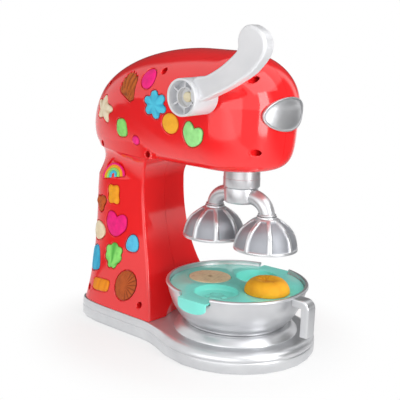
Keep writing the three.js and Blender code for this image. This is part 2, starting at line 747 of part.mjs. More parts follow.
// The base is open below, with a groove round its side, a rounded top edge and a low plinth for the bowl.
function base_shell() {
  const outline = base_outline();
  const bottom = plate_thickness + clearance;
  const groove_top = groove_height + groove_width;
  const sunk = inset(outline, groove_depth);
  const side = [
    at_level(outline, bottom),
    at_level(outline, groove_height),
    at_level(sunk, groove_height + groove_width / 2),
    at_level(inset(outline, groove_depth / 4), groove_top),
  ];
  const shoulder = steps(3).slice(1).map((s) => {
    const turn = s * quarter_turn;
    const run = (y) => groove_depth / 4 + shoulder_run * shoulder_share(y) * (1 - Math.cos(turn));
    return at_level(inset(outline, run), mix(groove_top, base_top, Math.sin(turn)));
  });
  const inside = inset(outline, (y) => base_wall + shoulder_run * shoulder_share(y) / 2);
  const hollow = loft([at_level(inside, bottom - overrun), at_level(inside, base_top - base_wall)]);
  const slope = plinth_slope_share.map(([along, up]) => {
    return [mix(plinth_radius, plinth_top_radius, along), mix(base_top, plinth_top, up)];
  });
  const foot = base_top - base_wall;
  const plinth = turned([[0, foot], [plinth_radius, foot], ...slope, [0, plinth_top]]);
  const room = plinth_top_radius - base_wall;
  const under_plinth = bar_z(room, bottom, plinth_top - base_wall, 0, 0, facets.medium);
  const bosses = base_screw_places().map(([x, y, length]) => {
    const top = (length > base_screw_length ? base_top : plinth_top) - base_wall / 2;
    return bar_z(base_boss_radius, bottom, top, x, y, facets.small);
  });
  const bores = base_screw_places().map(([x, y, length]) => {
    const top = length > base_screw_length ? base_top + overrun : base_screw_length + clearance;
    return bar_z(screw_radius + clearance, bottom - overrun, top, x, y, facets.tiny);
  });
  const skin = cut(join(loft([...side, ...shoulder]), plinth), hollow, under_plinth);
  return piece("base_shell", cut(join(skin, ...bosses), ...bores), "silver");
}

function base_plate() {
  const outline = inset(base_outline(), plate_inset);
  const plate = loft([at_level(outline, 0), at_level(outline, plate_thickness)]);
  const holes = base_screw_places().map(([x, y]) => {
    const sunk = bar_z(screw_head_radius + clearance, -overrun, plate_thickness / 2, x, y, facets.tiny);
    return join(sunk, bar_z(screw_radius + clearance, 0, plate_thickness + overrun, x, y, facets.tiny));
  });
  return piece("base_plate", cut(plate, ...holes), "silver");
}

function base_screws() {
  const sunk = plate_thickness / 2 - clearance;
  return base_screw_places().map(([x, y, length], i) => {
    const tip = length - sunk - clearance;
    const profile = [[0, 0], [screw_head_radius, 0], [screw_head_radius, sunk], [screw_radius, sunk]];
    const made = turned([...profile, [screw_radius, tip - screw_radius], [0, tip]], facets.tiny);
    const placed = piece(`base_screw_${i + 1}`, made, "steel");
    placed.position.set(x, y, clearance / 2);
    return placed;
  });
}

// The plain oval plate on the nose follows the nose's curve and has a raised edge.
function nose_plate() {
  const oval = (grow) => squared(2, facets.plain).map(([u, v]) => {
    return [u * (nose_plate_width + 2 * grow), v * (nose_plate_height + 2 * grow)];
  });
  const frame = side_frame(-quarter_turn, [0, 0, nose_plate_z]);
  const reach = head_half_width * 2;
  const plate = prism(oval(0), 0, reach, frame);
  const inner = prism(oval(-nose_plate_rim), 0, reach, frame);
  const under = housing_form(clearance);
  const low = cut(housing_form(clearance + nose_plate_thickness), under).intersect(plate);
  const high = cut(housing_form(clearance + nose_plate_thickness + nose_plate_rim), under);
  return piece("nose_plate", join(low, cut(high.intersect(plate), inner)), "silver");
}

// A bush along Z with a flange at its top, from height zero to the top of the sleeve.
function bush(radius, flange, length) {
  return ring([
    [shaft_radius + clearance, 0],
    [radius, 0],
    [radius, length],
    [flange, length],
    [flange, length + wall],
    [shaft_radius + clearance, length + wall],
  ], facets.medium);
}

function bushes() {
  const spindle_length = spindle_boss_top - head_floor - wall / 2;
  const spindle_flange = spindle_boss_radius - edge;
  const spindle = piece("spindle_bush", bush(spindle_bush_radius, spindle_flange, spindle_length), "white");
  spindle.position.z = head_floor + wall / 2 + clearance;
  const crank_length = crank_boss_depth - edge;
  const crank = piece("crank_bush", bush(crank_bush_radius, crank_bush_flange, crank_length), "white");
  crank.rotation.y = quarter_turn;
  crank.position.set(-crank_hub_inner + edge + clearance, 0, crank_height);
  const end_length = end_boss_depth - 2 * wall - clearance;
  const end = piece("crank_end_bush", bush(end_bush_radius, crank_bush_flange, end_length), "white");
  end.rotation.y = -quarter_turn;
  end.position.set(head_half_width - 2 * wall - 2 * clearance, 0, crank_height);
  return [spindle, crank, end];
}

// Tooth flank half widths at root and tip, and the root's depth and the tip's height over the pitch line.
function tooth() {
  const slope = Math.tan(THREE.MathUtils.degToRad(tooth_slope_deg));
  const pitch = Math.PI * tooth_module / 4 - tooth_backlash / 2;
  const depth = tooth_module + tooth_clearance;
  return { root: pitch + depth * slope, tip: pitch - tooth_module * slope, depth, height: tooth_module };
}

// The pinion about Z, its teeth centred on height zero, with one tooth towards -X.
function pinion() {
  const { root, tip, depth, height } = tooth();
  const radius = pinion_teeth * tooth_module / 2;
  const outline = steps(pinion_teeth).slice(1).flatMap((s) => {
    const middle = Math.PI + s * full_turn;
    const at = (r, half) => [r * Math.cos(middle + half / r), r * Math.sin(middle + half / r)];
    const root_half = root * pinion_root_share;
    return [
      at(radius - depth, -root_half),
      at(radius + height, -tip),
      at(radius + height, tip),
      at(radius - depth, root_half),
    ];
  });
  const body = prism(outline, -gear_face / 2, gear_face / 2);
  const hub = bar_z(2 * shaft_radius, -gear_face, 0, 0, 0, facets.medium);
  const bore = bar_z(shaft_radius + clearance, -2 * gear_face, 2 * gear_face, 0, 0, facets.medium);
  return cut(join(body, hub), bore);
}

// One crown tooth below the axis, pointing to +X, narrowing towards the gear's middle.
function crown_tooth(pitch_x, radius) {
  const { root, tip, depth, height } = tooth();
  const foot = pitch_x - depth;
  const profile = [
    [-root, foot - overrun],
    [root, foot - overrun],
    [root, foot],
    [tip, pitch_x + height],
    [-tip, pitch_x + height],
    [-root, foot],
  ];
  const shape = new THREE.Shape(profile.map(([u, v]) => new THREE.Vector2(u, v)));
  const geometry = new THREE.ExtrudeGeometry(shape, { depth: gear_face, bevelEnabled: false });
  const across = new THREE.Vector3(0, 1, 0);
  const outward = new THREE.Vector3(1, 0, 0);
  const down = new THREE.Vector3(0, 0, -1);
  geometry.applyMatrix4(new THREE.Matrix4().makeBasis(across, outward, down));
  geometry.translate(0, 0, gear_face / 2 - radius);
  const place = geometry.getAttribute("position");
  for (let k = 0; k < place.count; k += 1) {
    place.setY(k, place.getY(k) * (-place.getZ(k) / radius));
  }
  return geometry;
}

// The crown gear about X, its teeth pointing towards +X, with a gap at the lowest place.
function crown() {
  const radius = crown_teeth * tooth_module / 2;
  const pitch_x = -pinion_teeth * tooth_module / 2;
  const face_x = pitch_x - tooth().depth;
  const disc = bar_x(crown_reach, face_x - crown_web, face_x);
  const hub = bar_x(2 * shaft_radius, face_x - 2 * crown_web, face_x + crown_web / 2, 0, 0, facets.medium);
  const teeth = steps(crown_teeth).slice(1).map((s) => {
    const geometry = crown_tooth(pitch_x, radius);
    geometry.rotateX((s + 1 / (2 * crown_teeth)) * full_turn);
    return solid(geometry);
  });
  const bore_radius = shaft_radius + clearance;
  const bore = bar_x(bore_radius, face_x - 4 * crown_web, face_x + crown_web, 0, 0, facets.medium);
  return cut(join(disc, hub, ...teeth), bore);
}

// The crank's arm, a cored plate with ribs across its open back.
function crank_arm() {
  const curve = new THREE.CatmullRomCurve3(arm_points_share.map(([reach, rise]) => {
    return new THREE.Vector3(reach * arm_reach, rise * arm_rise, 0);
  }), true, "centripetal");
  const outline = curve.getPoints(22).slice(1).map((p) => [p.x, p.y]);
  const frame = side_frame(0);
  const arm = prism(outline, arm_outer - arm_thickness, arm_outer, frame);
  const inner = inset(outline, arm_shell);
  const core = prism(inner, arm_outer - arm_thickness - overrun, arm_outer - arm_shell, frame);
  const ribs = steps(arm_ribs + 1).slice(1, -1).map((s) => {
    const y = -mix(crank_hub_radius, arm_reach, s);
    const half = crank_rib_thickness / 2;
    const low = [-arm_outer + arm_shell / 2, y - half, -crank_hub_radius];
    return box(low, [-arm_outer + arm_thickness, y + half, arm_rise + crank_hub_radius]).intersect(arm);
  });
  return join(cut(arm, core), ...ribs);
}

// The crank's hub and arm, one moulding about X: the hub has a cup with a ring and spokes at its open end.
function crank_handle() {
  const cup_floor = -crank_end + crank_cup_depth;
  const ring_top = cup_floor - crank_ring_depth;
  const hub = bar_x(crank_hub_radius, -crank_end, -crank_hub_inner);
  const cup = bar_x(crank_hub_radius - crank_hub_wall, -crank_end - overrun, cup_floor);
  const inner_ring = bar_x(crank_ring_radius, ring_top, -crank_hub_inner, 0, 0, facets.medium);
  const ring_bore = bar_x(crank_ring_radius - crank_ring_wall, -crank_end, cup_floor, 0, 0, facets.medium);
  const spokes = steps(crank_ribs).slice(1).map((s) => {
    const half = crank_rib_thickness / 2;
    const low = [ring_top, -half, crank_ring_radius - half];
    return box(low, [cup_floor + overrun, half, crank_hub_radius - half], s * full_turn);
  });
  const hole_radius = shaft_radius + clearance;
  const shaft_hole = bar_x(hole_radius, -crank_end, -crank_hub_inner + overrun, 0, 0, facets.medium);
  const body = cut(join(crank_arm(), hub), cup);
  return cut(join(body, inner_ring, ...spokes), ring_bore, shaft_hole);
}

// Crank, shaft and crown gear turn together about X.
function crank_group() {
  const group = new THREE.Group();
  const shaft_from = -crank_end + crank_cup_depth;
  const shaft_to = head_half_width - 2 * wall - edge;
  const cap_top = shaft_from - cap_thickness - clearance;
  const cap = bar_x(cap_radius, cap_top, shaft_from - clearance, 0, 0, facets.medium);
  const shaft = bar_x(shaft_radius, shaft_from, shaft_to, 0, 0, facets.medium);
  group.add(
    piece("crank_handle", crank_handle(), "pale"),
    piece("crank_screw_cap", cap, "cream"),
    piece("crank_shaft", shaft, "steel"),
    piece("crown_gear", crown(), "white"),
  );
  group.position.z = crank_height;
  return group;
}

// Pinion, shaft and collar turn together about Z.
function spindle_group() {
  const group = new THREE.Group();
  const gear = piece("pinion_gear", pinion(), "white");
  gear.position.z = pinion_height;
  const low = collar_bottom + clearance;
  const collar = ring([
    [shaft_radius + clearance, low],
    [collar_radius - edge, low],
    [collar_radius, low + edge],
    [collar_radius, head_floor - edge],
    [shaft_radius + clearance, head_floor - edge],
  ], facets.plain);
  const shaft = bar_z(shaft_radius, hub_bottom + wall, pinion_height + gear_face, 0, 0, facets.medium);
  group.add(gear, piece("spindle_shaft", shaft, "steel"), piece("spindle_collar", collar, "silver"));
  return group;
}

// One ribbed bell, its rim at height zero: flat panels sunk between raised ribs, and a round neck.
function bell() {
  const period = full_turn / bell_ribs;
  const last = bell_form_share.length - 1;
  const outer = bell_form_share.map(([r_share, z_share], level) => {
    const sink = level < 2 || level === last ? 0 : rib_height;
    return steps(bell_ribs).slice(1).flatMap((s) => {
      const crest = rib_places_share.crest.map((share) => [share, r_share * bell_radius]);
      const foot = rib_places_share.foot.map((share) => [share, r_share * bell_radius - sink]);
      return [...crest, ...foot].map(([share, reach]) => {
        const turn = s * full_turn + share * period;
        return [reach * Math.cos(turn), reach * Math.sin(turn), z_share * bell_height];
      });
    });
  });
  const inner = bell_form_share.slice(0, -1).map(([r_share, z_share], level) => {
    const radius = r_share * (bell_radius - rib_height) - bell_wall;
    return [radius, level ? z_share * (bell_height - 2 * bell_wall) : -overrun];
  });
  const hollow = turned([[0, -overrun], ...inner, [0, inner.at(-1)[1]]], bell_ribs);
  const neck_low = bell_height - bell_wall;
  const neck = bar_z(bell_neck_radius, neck_low, neck_low + 2 * bell_wall, 0, 0, 2 * bell_ribs);
  return cut(join(loft(outer), neck), hollow);
}

// A stem bends out of the carrier's collar and down onto a bell's neck.
function beater_stem(way, low, high) {
  const start = hub_radius - stem_overlap;
  const bend = new THREE.CatmullRomCurve3(steps(6).map((s) => {
    const turn = s * quarter_turn;
    const y = mix(start, bell_circle, Math.sin(turn));
    return new THREE.Vector3(0, way * y, mix(low, high, Math.cos(turn)));
  }));
  const section = new THREE.Shape().absarc(0, 0, stem_radius, 0, full_turn);
  const form = { extrudePath: bend, steps: 6, curveSegments: 5, bevelEnabled: false };
  const stem = solid(new THREE.ExtrudeGeometry(section, form));
  const across = [stem_radius + overrun, 2 * bell_circle];
  return cut(stem, box([-across[0], -across[1], low - stem_radius], [...across, low]));
}

// The carrier's collar and its two bent stems.
function beater_carrier() {
  const collar = turned([
    [0, hub_bottom],
    [hub_radius - hub_bevel, hub_bottom],
    [hub_radius, hub_bottom + hub_bevel],
    [hub_radius, collar_bottom],
    [0, collar_bottom],
  ], facets.plain);
  const low = bell_neck + bell_wall + clearance;
  const high = collar_bottom - stem_radius - clearance;
  const stems = [-1, 1].map((way) => beater_stem(way, low, high));
  const socket_floor = hub_bottom + wall - clearance;
  const socket = bar_z(shaft_radius + clearance, socket_floor, collar_bottom + overrun, 0, 0, facets.medium);
  return cut(join(collar, ...stems), socket);
}

function beater_group() {
  const group = new THREE.Group();
  group.add(piece("beater_carrier", beater_carrier(), "silver"));
  Object.entries({ beater_bell_front: -1, beater_bell_rear: 1 }).forEach(([name, way]) => {
    const made = piece(name, bell(), "silver");
    made.position.set(0, way * bell_circle, bell_rim);
    group.add(made);
  });
  return group;
}

// Points of the bowl's wall as [radius, height], moved in from its outer curve.
function bowl_wall_points(count, inward) {
  const curve = new THREE.QuadraticBezierCurve(
    new THREE.Vector2(bowl_foot_radius, plinth_top + clearance + bowl_foot_height / 2),
    new THREE.Vector2(rim_radius - belly_inset, plinth_top + belly_rise),
    new THREE.Vector2(rim_radius - rim_lip, rim_top - rim_bead),
  );
  return steps(count).map((s) => {
    const p = curve.getPoint(s);
    const along = curve.getTangent(s);
    return [p.x - along.y * inward, p.y + along.x * inward];
  });
}

// The bowl: round wall on a foot ring, beaded rim with two notches, and a strap handle at the front.
function bowl() {
  const seat = plinth_top + clearance;
  const floor = seat + bowl_foot_height;
  const foot_inner = bowl_foot_radius - 2 * bowl_wall;
  const inner_wall = bowl_wall_points(4, bowl_wall).filter(([, z]) => z > floor + bowl_wall);
  const body = turned([
    [0, floor],
    [foot_inner, floor],
    [foot_inner, seat],
    [bowl_foot_radius, seat],
    ...bowl_wall_points(4, 0),
    [rim_radius, rim_top - rim_bead],
    [rim_radius, rim_top - rim_lip / 2],
    [rim_radius - rim_lip, rim_top],
    [rim_radius - rim_lip - bowl_wall, rim_top],
    ...inner_wall.reverse(),
    [inner_wall.at(-1)[0] - 2 * bowl_wall, floor + bowl_wall],
    [0, floor + bowl_wall],
  ], facets.bowl);
  const half = notch_width / 2;
  const reach = rim_radius + rim_lip;
  const notch = box([-reach, -half, rim_top - notch_depth], [reach, half, rim_top + overrun]);
  return cut(join(body, bowl_handle()), notch);
}

// Outline of the handle or of its hollow, a strip that runs out from the rim, round a bend and down.
function handle_strip(depth, shrink) {
  const root = rim_radius - bowl_wall / 2;
  const tip = rim_radius + handle_reach;
  const top = rim_top - rim_bead / 2;
  const foot = rim_top - handle_drop - shrink;
  const bend = (sink, radius) => steps(4).map((s) => {
    const turn = s * quarter_turn;
    return [tip - sink - radius * (1 - Math.sin(turn)), top - sink - radius * (1 - Math.cos(turn))];
  });
  const outer = [[root, top - shrink], ...bend(shrink, handle_bend - shrink), [tip - shrink, foot]];
  const inner = bend(depth, Math.max(handle_bend - depth, edge)).reverse();
  return [...outer, [tip - depth, foot], ...inner, [root, top - depth]];
}

// The handle is a channel that is open towards the bowl.
function bowl_handle() {
  const frame = side_frame(0);
  const inside = handle_width / 2 - handle_wall;
  const whole = prism(handle_strip(handle_depth, 0), -handle_width / 2, handle_width / 2, frame);
  const channel = prism(handle_strip(handle_depth + overrun, handle_wall), -inside, inside, frame);
  const space = [[0, 0], ...bowl_wall_points(4, bowl_wall / 2), [0, rim_top]];
  const bowl_space = turned(space, facets.bowl);
  const kept = bar_z(rim_radius - bowl_wall / 2, 0, 2 * rim_top, 0, 0, facets.bowl);
  return cut(whole, cut(channel, kept), bowl_space);
}

// A tab bridges the bowl's rim at its notch and hangs down outside.
function tray_tab(way, radius, top) {
  const outside = rim_radius + clearance;
  const end = outside + tray_thickness;
  const half = tab_width / 2;
  const across = [way * (radius - 2 * mould_wall), way * end];
  const low = [Math.min(...across), -half, tray_height];
  const bridge = box(low, [Math.max(...across), half, top]);
  const flap = steps(6).map((s) => {
    const turn = s * Math.PI;
    return [half * Math.cos(turn), top - mix(tab_drop / 2, tab_drop, Math.sin(turn))];
  });
  const side = side_frame(way < 0 ? 0 : Math.PI);
  return join(bridge, prism([[-half, top], [half, top], ...flap], outside, end, side));
}

// The mould tray: a disc with four cups on the axes and a hanging tab at each side.
function tray() {
  const top = tray_height + tray_thickness;
  const radius = rim_radius - rim_lip - bowl_wall - tray_gap;
  const disc = turned([
    [0, tray_height],
    [radius - edge, tray_height],
    [radius, tray_height + tray_thickness / 2],
    [radius, top],
    [0, top],
  ], facets.bowl);
  const outer = mould_radius + mould_wall;
  const cups = Object.values(moulds).map(({ place, depth }) => {
    const low = top - depth - mould_wall;
    const profile = [[0, low], [mould_radius, low], [outer, low + mould_wall], [outer, top], [0, top]];
    return turned(profile, facets.cup, ...place);
  });
  const wells = Object.values(moulds).map(({ place, depth }) => {
    return bar_z(mould_radius, top - depth, top + overrun, ...place, facets.cup);
  });
  const tabs = [-1, 1].map((way) => tray_tab(way, radius, top));
  return cut(join(disc, ...cups, ...tabs), ...wells);
}

// The clay in the tray: a flat cookie with a hole and a ring-shaped donut.
function cookie(top) {
  const radius = mould_radius - clearance;
  const low = top - moulds.cookie.depth + clearance;
  const high = low + cookie_thickness;
  const rim = [[radius, low], [radius, high - edge], [radius - edge, high]];
  return ring([[cookie_hole, low], ...rim, [cookie_hole, high]], facets.cup);
}

function donut(top) {
  const radius = mould_radius - clearance;
  const low = top - moulds.donut.depth + clearance;
  const seat = top + clearance;
  const rise = low + donut_height - seat;
  const dome = steps(6).map((s) => {
    const turn = s * (1 + donut_dimple_share) * quarter_turn;
    const reach = mix(donut_radius * donut_hole_share, donut_radius, Math.cos(turn));
    return [reach, seat + rise * Math.sin(turn)];
  });
  const dimple = [0, seat + rise * (1 - donut_dimple_share)];
  return turned([[0, low], [radius, low], [radius, seat], ...dome, dimple], facets.cup);
}

function bowl_group() {
  const group = new THREE.Group();
  const top = tray_height + tray_thickness;
  const cookie_mesh = piece("clay_cookie", cookie(top), "tan");
  cookie_mesh.position.set(...moulds.cookie.place, 0);
  const donut_mesh = piece("clay_donut", donut(top), "orange");
  donut_mesh.position.set(...moulds.donut.place, 0);
  group.add(piece("bowl", bowl(), "silver"), piece("bowl_tray", tray(), "teal"), cookie_mesh, donut_mesh);
  group.rotation.z = THREE.MathUtils.degToRad(bowl_turn_deg);
  return group;
}

const mixer = new THREE.Group();
mixer.add(
  ...housing(),
  ...clay_pieces(),
  ...body_screws(),
  base_shell(),
  base_plate(),
  ...base_screws(),
  nose_plate(),
  ...bushes(),
  crank_group(),
  spindle_group(),
  beater_group(),
  bowl_group(),
);

export default mixer;
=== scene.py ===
# A toy stand mixer for modelling clay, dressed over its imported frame. The sections follow the toy as it
# is put together: studio, housing, clay in the side, screws, base, nose plate, crank, drive, beaters, bowl,
# tray, clay in the tray. Sizes are in millimetres, and those of lamps, cards and floor in metres.
import json
import math

import bpy
import numpy as np
from mathutils import Matrix, Vector, noise
from mathutils.bvhtree import BVHTree

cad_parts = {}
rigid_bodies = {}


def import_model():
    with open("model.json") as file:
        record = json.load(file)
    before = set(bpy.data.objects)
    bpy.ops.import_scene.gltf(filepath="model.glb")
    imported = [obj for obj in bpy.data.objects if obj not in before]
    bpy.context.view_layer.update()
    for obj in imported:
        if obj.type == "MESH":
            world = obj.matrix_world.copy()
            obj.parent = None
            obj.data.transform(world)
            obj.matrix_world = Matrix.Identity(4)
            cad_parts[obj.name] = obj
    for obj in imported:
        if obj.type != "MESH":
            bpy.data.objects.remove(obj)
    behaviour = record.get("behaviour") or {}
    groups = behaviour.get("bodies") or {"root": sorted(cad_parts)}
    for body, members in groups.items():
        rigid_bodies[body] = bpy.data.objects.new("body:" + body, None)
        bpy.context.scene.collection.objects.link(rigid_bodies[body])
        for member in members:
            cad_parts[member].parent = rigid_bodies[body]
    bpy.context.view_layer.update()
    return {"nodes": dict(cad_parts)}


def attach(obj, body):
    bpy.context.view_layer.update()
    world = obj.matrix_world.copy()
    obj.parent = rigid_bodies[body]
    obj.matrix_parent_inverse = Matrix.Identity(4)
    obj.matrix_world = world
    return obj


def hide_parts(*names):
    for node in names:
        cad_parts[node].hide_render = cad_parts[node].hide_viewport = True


for left_over in list(bpy.data.objects):
    bpy.data.objects.remove(left_over)
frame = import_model()
mm = 0.001


# Studio. The camera stands low at the toy's front left. A soft box on its left and a tall one before the
# nose give the two pale patches on the head, and a wide one hangs above. Backdrop and floor are white, and
# grey cards, which only reflections show, keep the glossy sides from turning white.
camera_aim = Vector((0, 52.6, 139.5)) * mm
camera_azimuth = math.radians(-49)
camera_elevation = math.radians(12.7)
camera_roll = math.radians(2)
camera_distance = 924.9 * mm
focal_share = 913 / 400
sensor = 36

back = Vector(
    (
        math.sin(camera_azimuth) * math.cos(camera_elevation),
        -math.cos(camera_azimuth) * math.cos(camera_elevation),
        math.sin(camera_elevation),
    )
)
right = Vector((math.cos(camera_azimuth), math.sin(camera_azimuth), 0))
up = back.cross(right)
rolled_right = right * math.cos(camera_roll) + up * math.sin(camera_roll)
rolled_up = up * math.cos(camera_roll) - right * math.sin(camera_roll)
camera = bpy.data.objects.new("camera", bpy.data.cameras.new("camera"))
bpy.context.scene.collection.objects.link(camera)
camera.data.sensor_width = sensor
camera.data.lens = sensor * focal_share
turn = Matrix((rolled_right, rolled_up, back)).transposed().to_4x4()
camera.matrix_world = Matrix.Translation(camera_aim + back * camera_distance) @ turn
bpy.context.scene.camera = camera
bpy.context.scene.view_settings.view_transform = "Standard"


def soft_box(name, place, aim, width, height, radiance):
    """A rectangular lamp whose face looks at a point, as bright as radiance."""
    lamp = bpy.data.lights.new(name, "AREA")
    lamp.shape = "RECTANGLE"
    lamp.size = width
    lamp.size_y = height
    lamp.energy = radiance * width * height * math.pi
    box = bpy.data.objects.new(name, lamp)
    bpy.context.scene.collection.objects.link(box)
    box.visible_camera = False
    away = Vector(place) - Vector(aim)
    box.matrix_world = Matrix.Translation(Vector(place)) @ away.to_track_quat("Z", "Y").to_matrix().to_4x4()


soft_box("left_soft_box", (-0.75, -0.17, 0.27), (0, 0.02, 0.27), width=0.95, height=0.66, radiance=1.1)
soft_box("nose_soft_box", (-0.06, -0.8, 0.4), (-0.06, 0, 0.4), width=0.27, height=0.74, radiance=4.8)
soft_box("top_soft_box", (0.1, -0.75, 1.2), (0, 0, 0.08), width=1.2, height=0.9, radiance=1.35)

white = (1, 1, 1, 1)
card_steps = 24
card_feather = 0.16
card_lift = 0.002
front_card_lift = 0.001


def add_node(tree, kind, inputs=(), **settings):
    """A node with its settings; each input, by name or number, gets a value or a link from a socket."""
    made = tree.nodes.new(kind)
    for setting, value in settings.items():
        setattr(made, setting, value)
    for label, value in dict(inputs).items():
        if isinstance(value, bpy.types.NodeSocket):
            tree.links.new(value, made.inputs[label])
        else:
            made.inputs[label].default_value = value
    return made


def math_node(tree, operation, *values):
    return add_node(tree, "ShaderNodeMath", enumerate(values), operation=operation).outputs[0]


def studio_piece(name, finish, points, faces):
    """A stage object with a material of its own, and that material's empty tree."""
    mesh = bpy.data.meshes.new(name)
    mesh.from_pydata(points, [], faces)
    piece = bpy.data.objects.new(name, mesh)
    bpy.context.scene.collection.objects.link(piece)
    material = bpy.data.materials.new(finish)
    material.use_nodes = True
    material.node_tree.nodes.clear()
    mesh.materials.append(material)
    return piece, material.node_tree


def lying(left, right, front, rear, height):
    """The corners of a card that lies above the floor."""
    return [(left, front, height), (right, front, height), (right, rear, height), (left, rear, height)]


def standing(start, end, low, high):
    """The corners of a card that stands on a line between two places."""
    return [(*start, low), (*end, low), (*end, high), (*start, high)]


def soft(share):
    """A share that sets out and arrives without a corner."""
    return share**2 * (3 - 2 * share)


def grey_card(name, corners, grey):
    """A card that only glossy surfaces show, grey inside and fading to white at its edges."""
    a, b, c, d = (np.array(corner, float) for corner in corners)
    share = np.linspace(0, 1, card_steps + 1)
    places = [(1 - v) * ((1 - u) * a + u * b) + v * ((1 - u) * d + u * c) for v in share for u in share]
    row = card_steps + 1
    faces = [(i, i + 1, i + row + 1, i + row) for i in range(card_steps * row) if i % row < card_steps]
    card, tree = studio_piece(name, name, [tuple(p) for p in places], faces)
    inside = soft(np.clip(np.minimum(share, 1 - share) / card_feather, 0, 1))
    tones = card.data.attributes.new("tone", "FLOAT", "POINT")
    tones.data.foreach_set("value", (1 + (grey - 1) * np.outer(inside, inside).ravel()).astype(np.float32))
    tone = add_node(tree, "ShaderNodeAttribute", attribute_name="tone")
    glow = add_node(tree, "ShaderNodeEmission", {"Color": tone.outputs["Fac"], "Strength": 1})
    add_node(tree, "ShaderNodeOutputMaterial", {"Surface": glow.outputs[0]})
    card.visible_camera = False
    card.visible_diffuse = False
    card.visible_transmission = False
    card.visible_shadow = False


grey_card("left_flag", lying(-3, -0.16, -0.5, 2.8, card_lift), 0.08)
grey_card("right_flag", lying(-0.1, 3, -2.8, 0.4, card_lift), 0.06)
grey_card("front_flag", lying(-1.6, 0, -1.9, -0.12, front_card_lift), 0.45)
grey_card("side_flag", standing((0.3, -2.1), (2.2, -0.2), 0.1, 1.6), 0.1)
grey_card("rear_flag", standing((0.1, 2.5), (2.5, 0), 0, 2.5), 0.08)


def seen_directly(tree):
    """A mask that is 1 for rays from the camera, mirrors and clear plastic."""
    path = add_node(tree, "ShaderNodeLightPath").outputs
    first = math_node(tree, "MAXIMUM", path["Is Camera Ray"], path["Is Glossy Ray"])
    return math_node(tree, "MAXIMUM", first, path["Is Transmission Ray"])


def light_world(fill):
    """A backdrop that is seen as white and lights the toy by fill."""
    world = bpy.context.scene.world or bpy.data.worlds.new("studio")
    bpy.context.scene.world = world
    world.use_nodes = True
    tree = world.node_tree
    tree.nodes.clear()
    lit = add_node(tree, "ShaderNodeBackground", {"Color": white, "Strength": fill})
    seen = add_node(tree, "ShaderNodeBackground", {"Color": white, "Strength": 1})
    shaders = (seen_directly(tree), lit.outputs[0], seen.outputs[0])
    mixed = add_node(tree, "ShaderNodeMixShader", enumerate(shaders))
    add_node(tree, "ShaderNodeOutputWorld", {"Surface": mixed.outputs[0]})


light_world(fill=0.5)


def sweep_floor(reach, middle, near, far, grey, keep):
    """The white floor: near the toy it takes the shadow, which keep weakens, and further out it is plain."""
    corners = [(-reach, -reach, 0), (reach, -reach, 0), (reach, reach, 0), (-reach, reach, 0)]
    _, tree = studio_piece("floor", "white_sweep", corners, [(0, 1, 2, 3)])
    painted = add_node(tree, "ShaderNodeBsdfDiffuse", {"Color": (grey, grey, grey, 1)})
    glow = add_node(tree, "ShaderNodeEmission", {"Color": white, "Strength": 1})
    place = add_node(tree, "ShaderNodeTexCoord").outputs["Object"]
    away = add_node(tree, "ShaderNodeVectorMath", {0: place, 1: middle}, operation="DISTANCE")
    limits = {"Value": away.outputs["Value"], "From Min": near, "From Max": far, "To Min": 1 - keep}
    fade = add_node(tree, "ShaderNodeMapRange", limits, interpolation_type="SMOOTHSTEP")
    only_seen = math_node(tree, "MULTIPLY", fade.outputs[0], seen_directly(tree))
    shaders = (only_seen, painted.outputs[0], glow.outputs[0])
    blend = add_node(tree, "ShaderNodeMixShader", enumerate(shaders))
    add_node(tree, "ShaderNodeOutputMaterial", {"Surface": blend.outputs[0]})


sweep_floor(reach=6, middle=(0, 0.05, 0), near=0.11, far=0.19, grey=0.95, keep=0.35)


# Housing. Two glossy red shells, injection moulded and joined on the middle plane: a deep head, rounded at
# the nose and drawn out behind, on a column with a flat front, which a fillet joins to the head's underside.
# The forms are the source's own, only finer: every plan outline comes from the same few curves.
shell_wall = 2.6
seam_gap = 0.3
head_half_width = 58
head_top = 292
head_widest = 243
head_floor = 181
nose_y = 7.5
ridge_y = 45
tail_y = 187.05
places_y = 187.6
tail_height = 203
chin_taper = 0.05
chin_power = 6
tail_power = 3
foot_height = 20.3
foot_half_width = 58.5
foot_front_y = 64.5
waist_half_width = 32
waist_front_y = 103
waist_height = 154
waist_rear_spread = 17
throat_radius = 30
shoulder_half_width = 52
shoulder_tuck = 9
neck_dip = 2
column_rear_y = 178
column_top = 206
column_edge = 3
column_power = 3
foot_power = 5.5
bowl_recess = 72.6
bowl_recess_top = 70.2
swell_start = 168
swell_end = 203
swell_middle_y = 135
swell_inset = 0.4
swell_power = 1.8
swell_front = 2
swell_front_run = 14
head_rings_below = 34
head_rings_above = 46
head_crown_share = 0.985
column_rings = 40
throat_rings = 26
crease_height = 0.45
crease_width = 2.6
creases = [((118, 236), (38, 199)), ((112, 197), (98, 176))]


def mix(a, b, share):
    return a + (b - a) * share


def even(points, count):
    """Points at even spacing along an open line, and the share of the line's index at each."""
    points = np.asarray(points, float)
    length = np.r_[0, np.cumsum(np.linalg.norm(np.diff(points, axis=0), axis=1))]
    index = np.interp(np.linspace(0, length[-1], count), length, np.arange(len(points)))
    return index / (len(points) - 1)


def head_half(z, grow=0):
    """The head's half width at a height."""
    rise = np.clip((z - head_widest) / (head_top - head_widest + grow), 0, 1)
    drop = np.clip((head_widest - z) / (head_widest - head_floor + grow), 0, 1)
    over = np.sqrt(1 - rise**2)
    under = (1 - chin_taper * drop) * (1 - drop**chin_power) ** (1 / chin_power)
    return (head_half_width + grow) * np.where(z >= head_widest, over, under)


def tail_reach(z, grow=0):
    """How far the head reaches back at a height."""
    rise = (z - tail_height) / (head_top - tail_height + grow)
    return ridge_y + (tail_y - ridge_y + grow) * np.sqrt(np.clip(1 - rise**2, 0, 1))


def mirrored(half):
    """A whole outline from its half on the right, which runs from the front to the rear."""
    half = np.asarray(half, float)
    return np.vstack([half, half[-2:0:-1] * (-1, 1)])


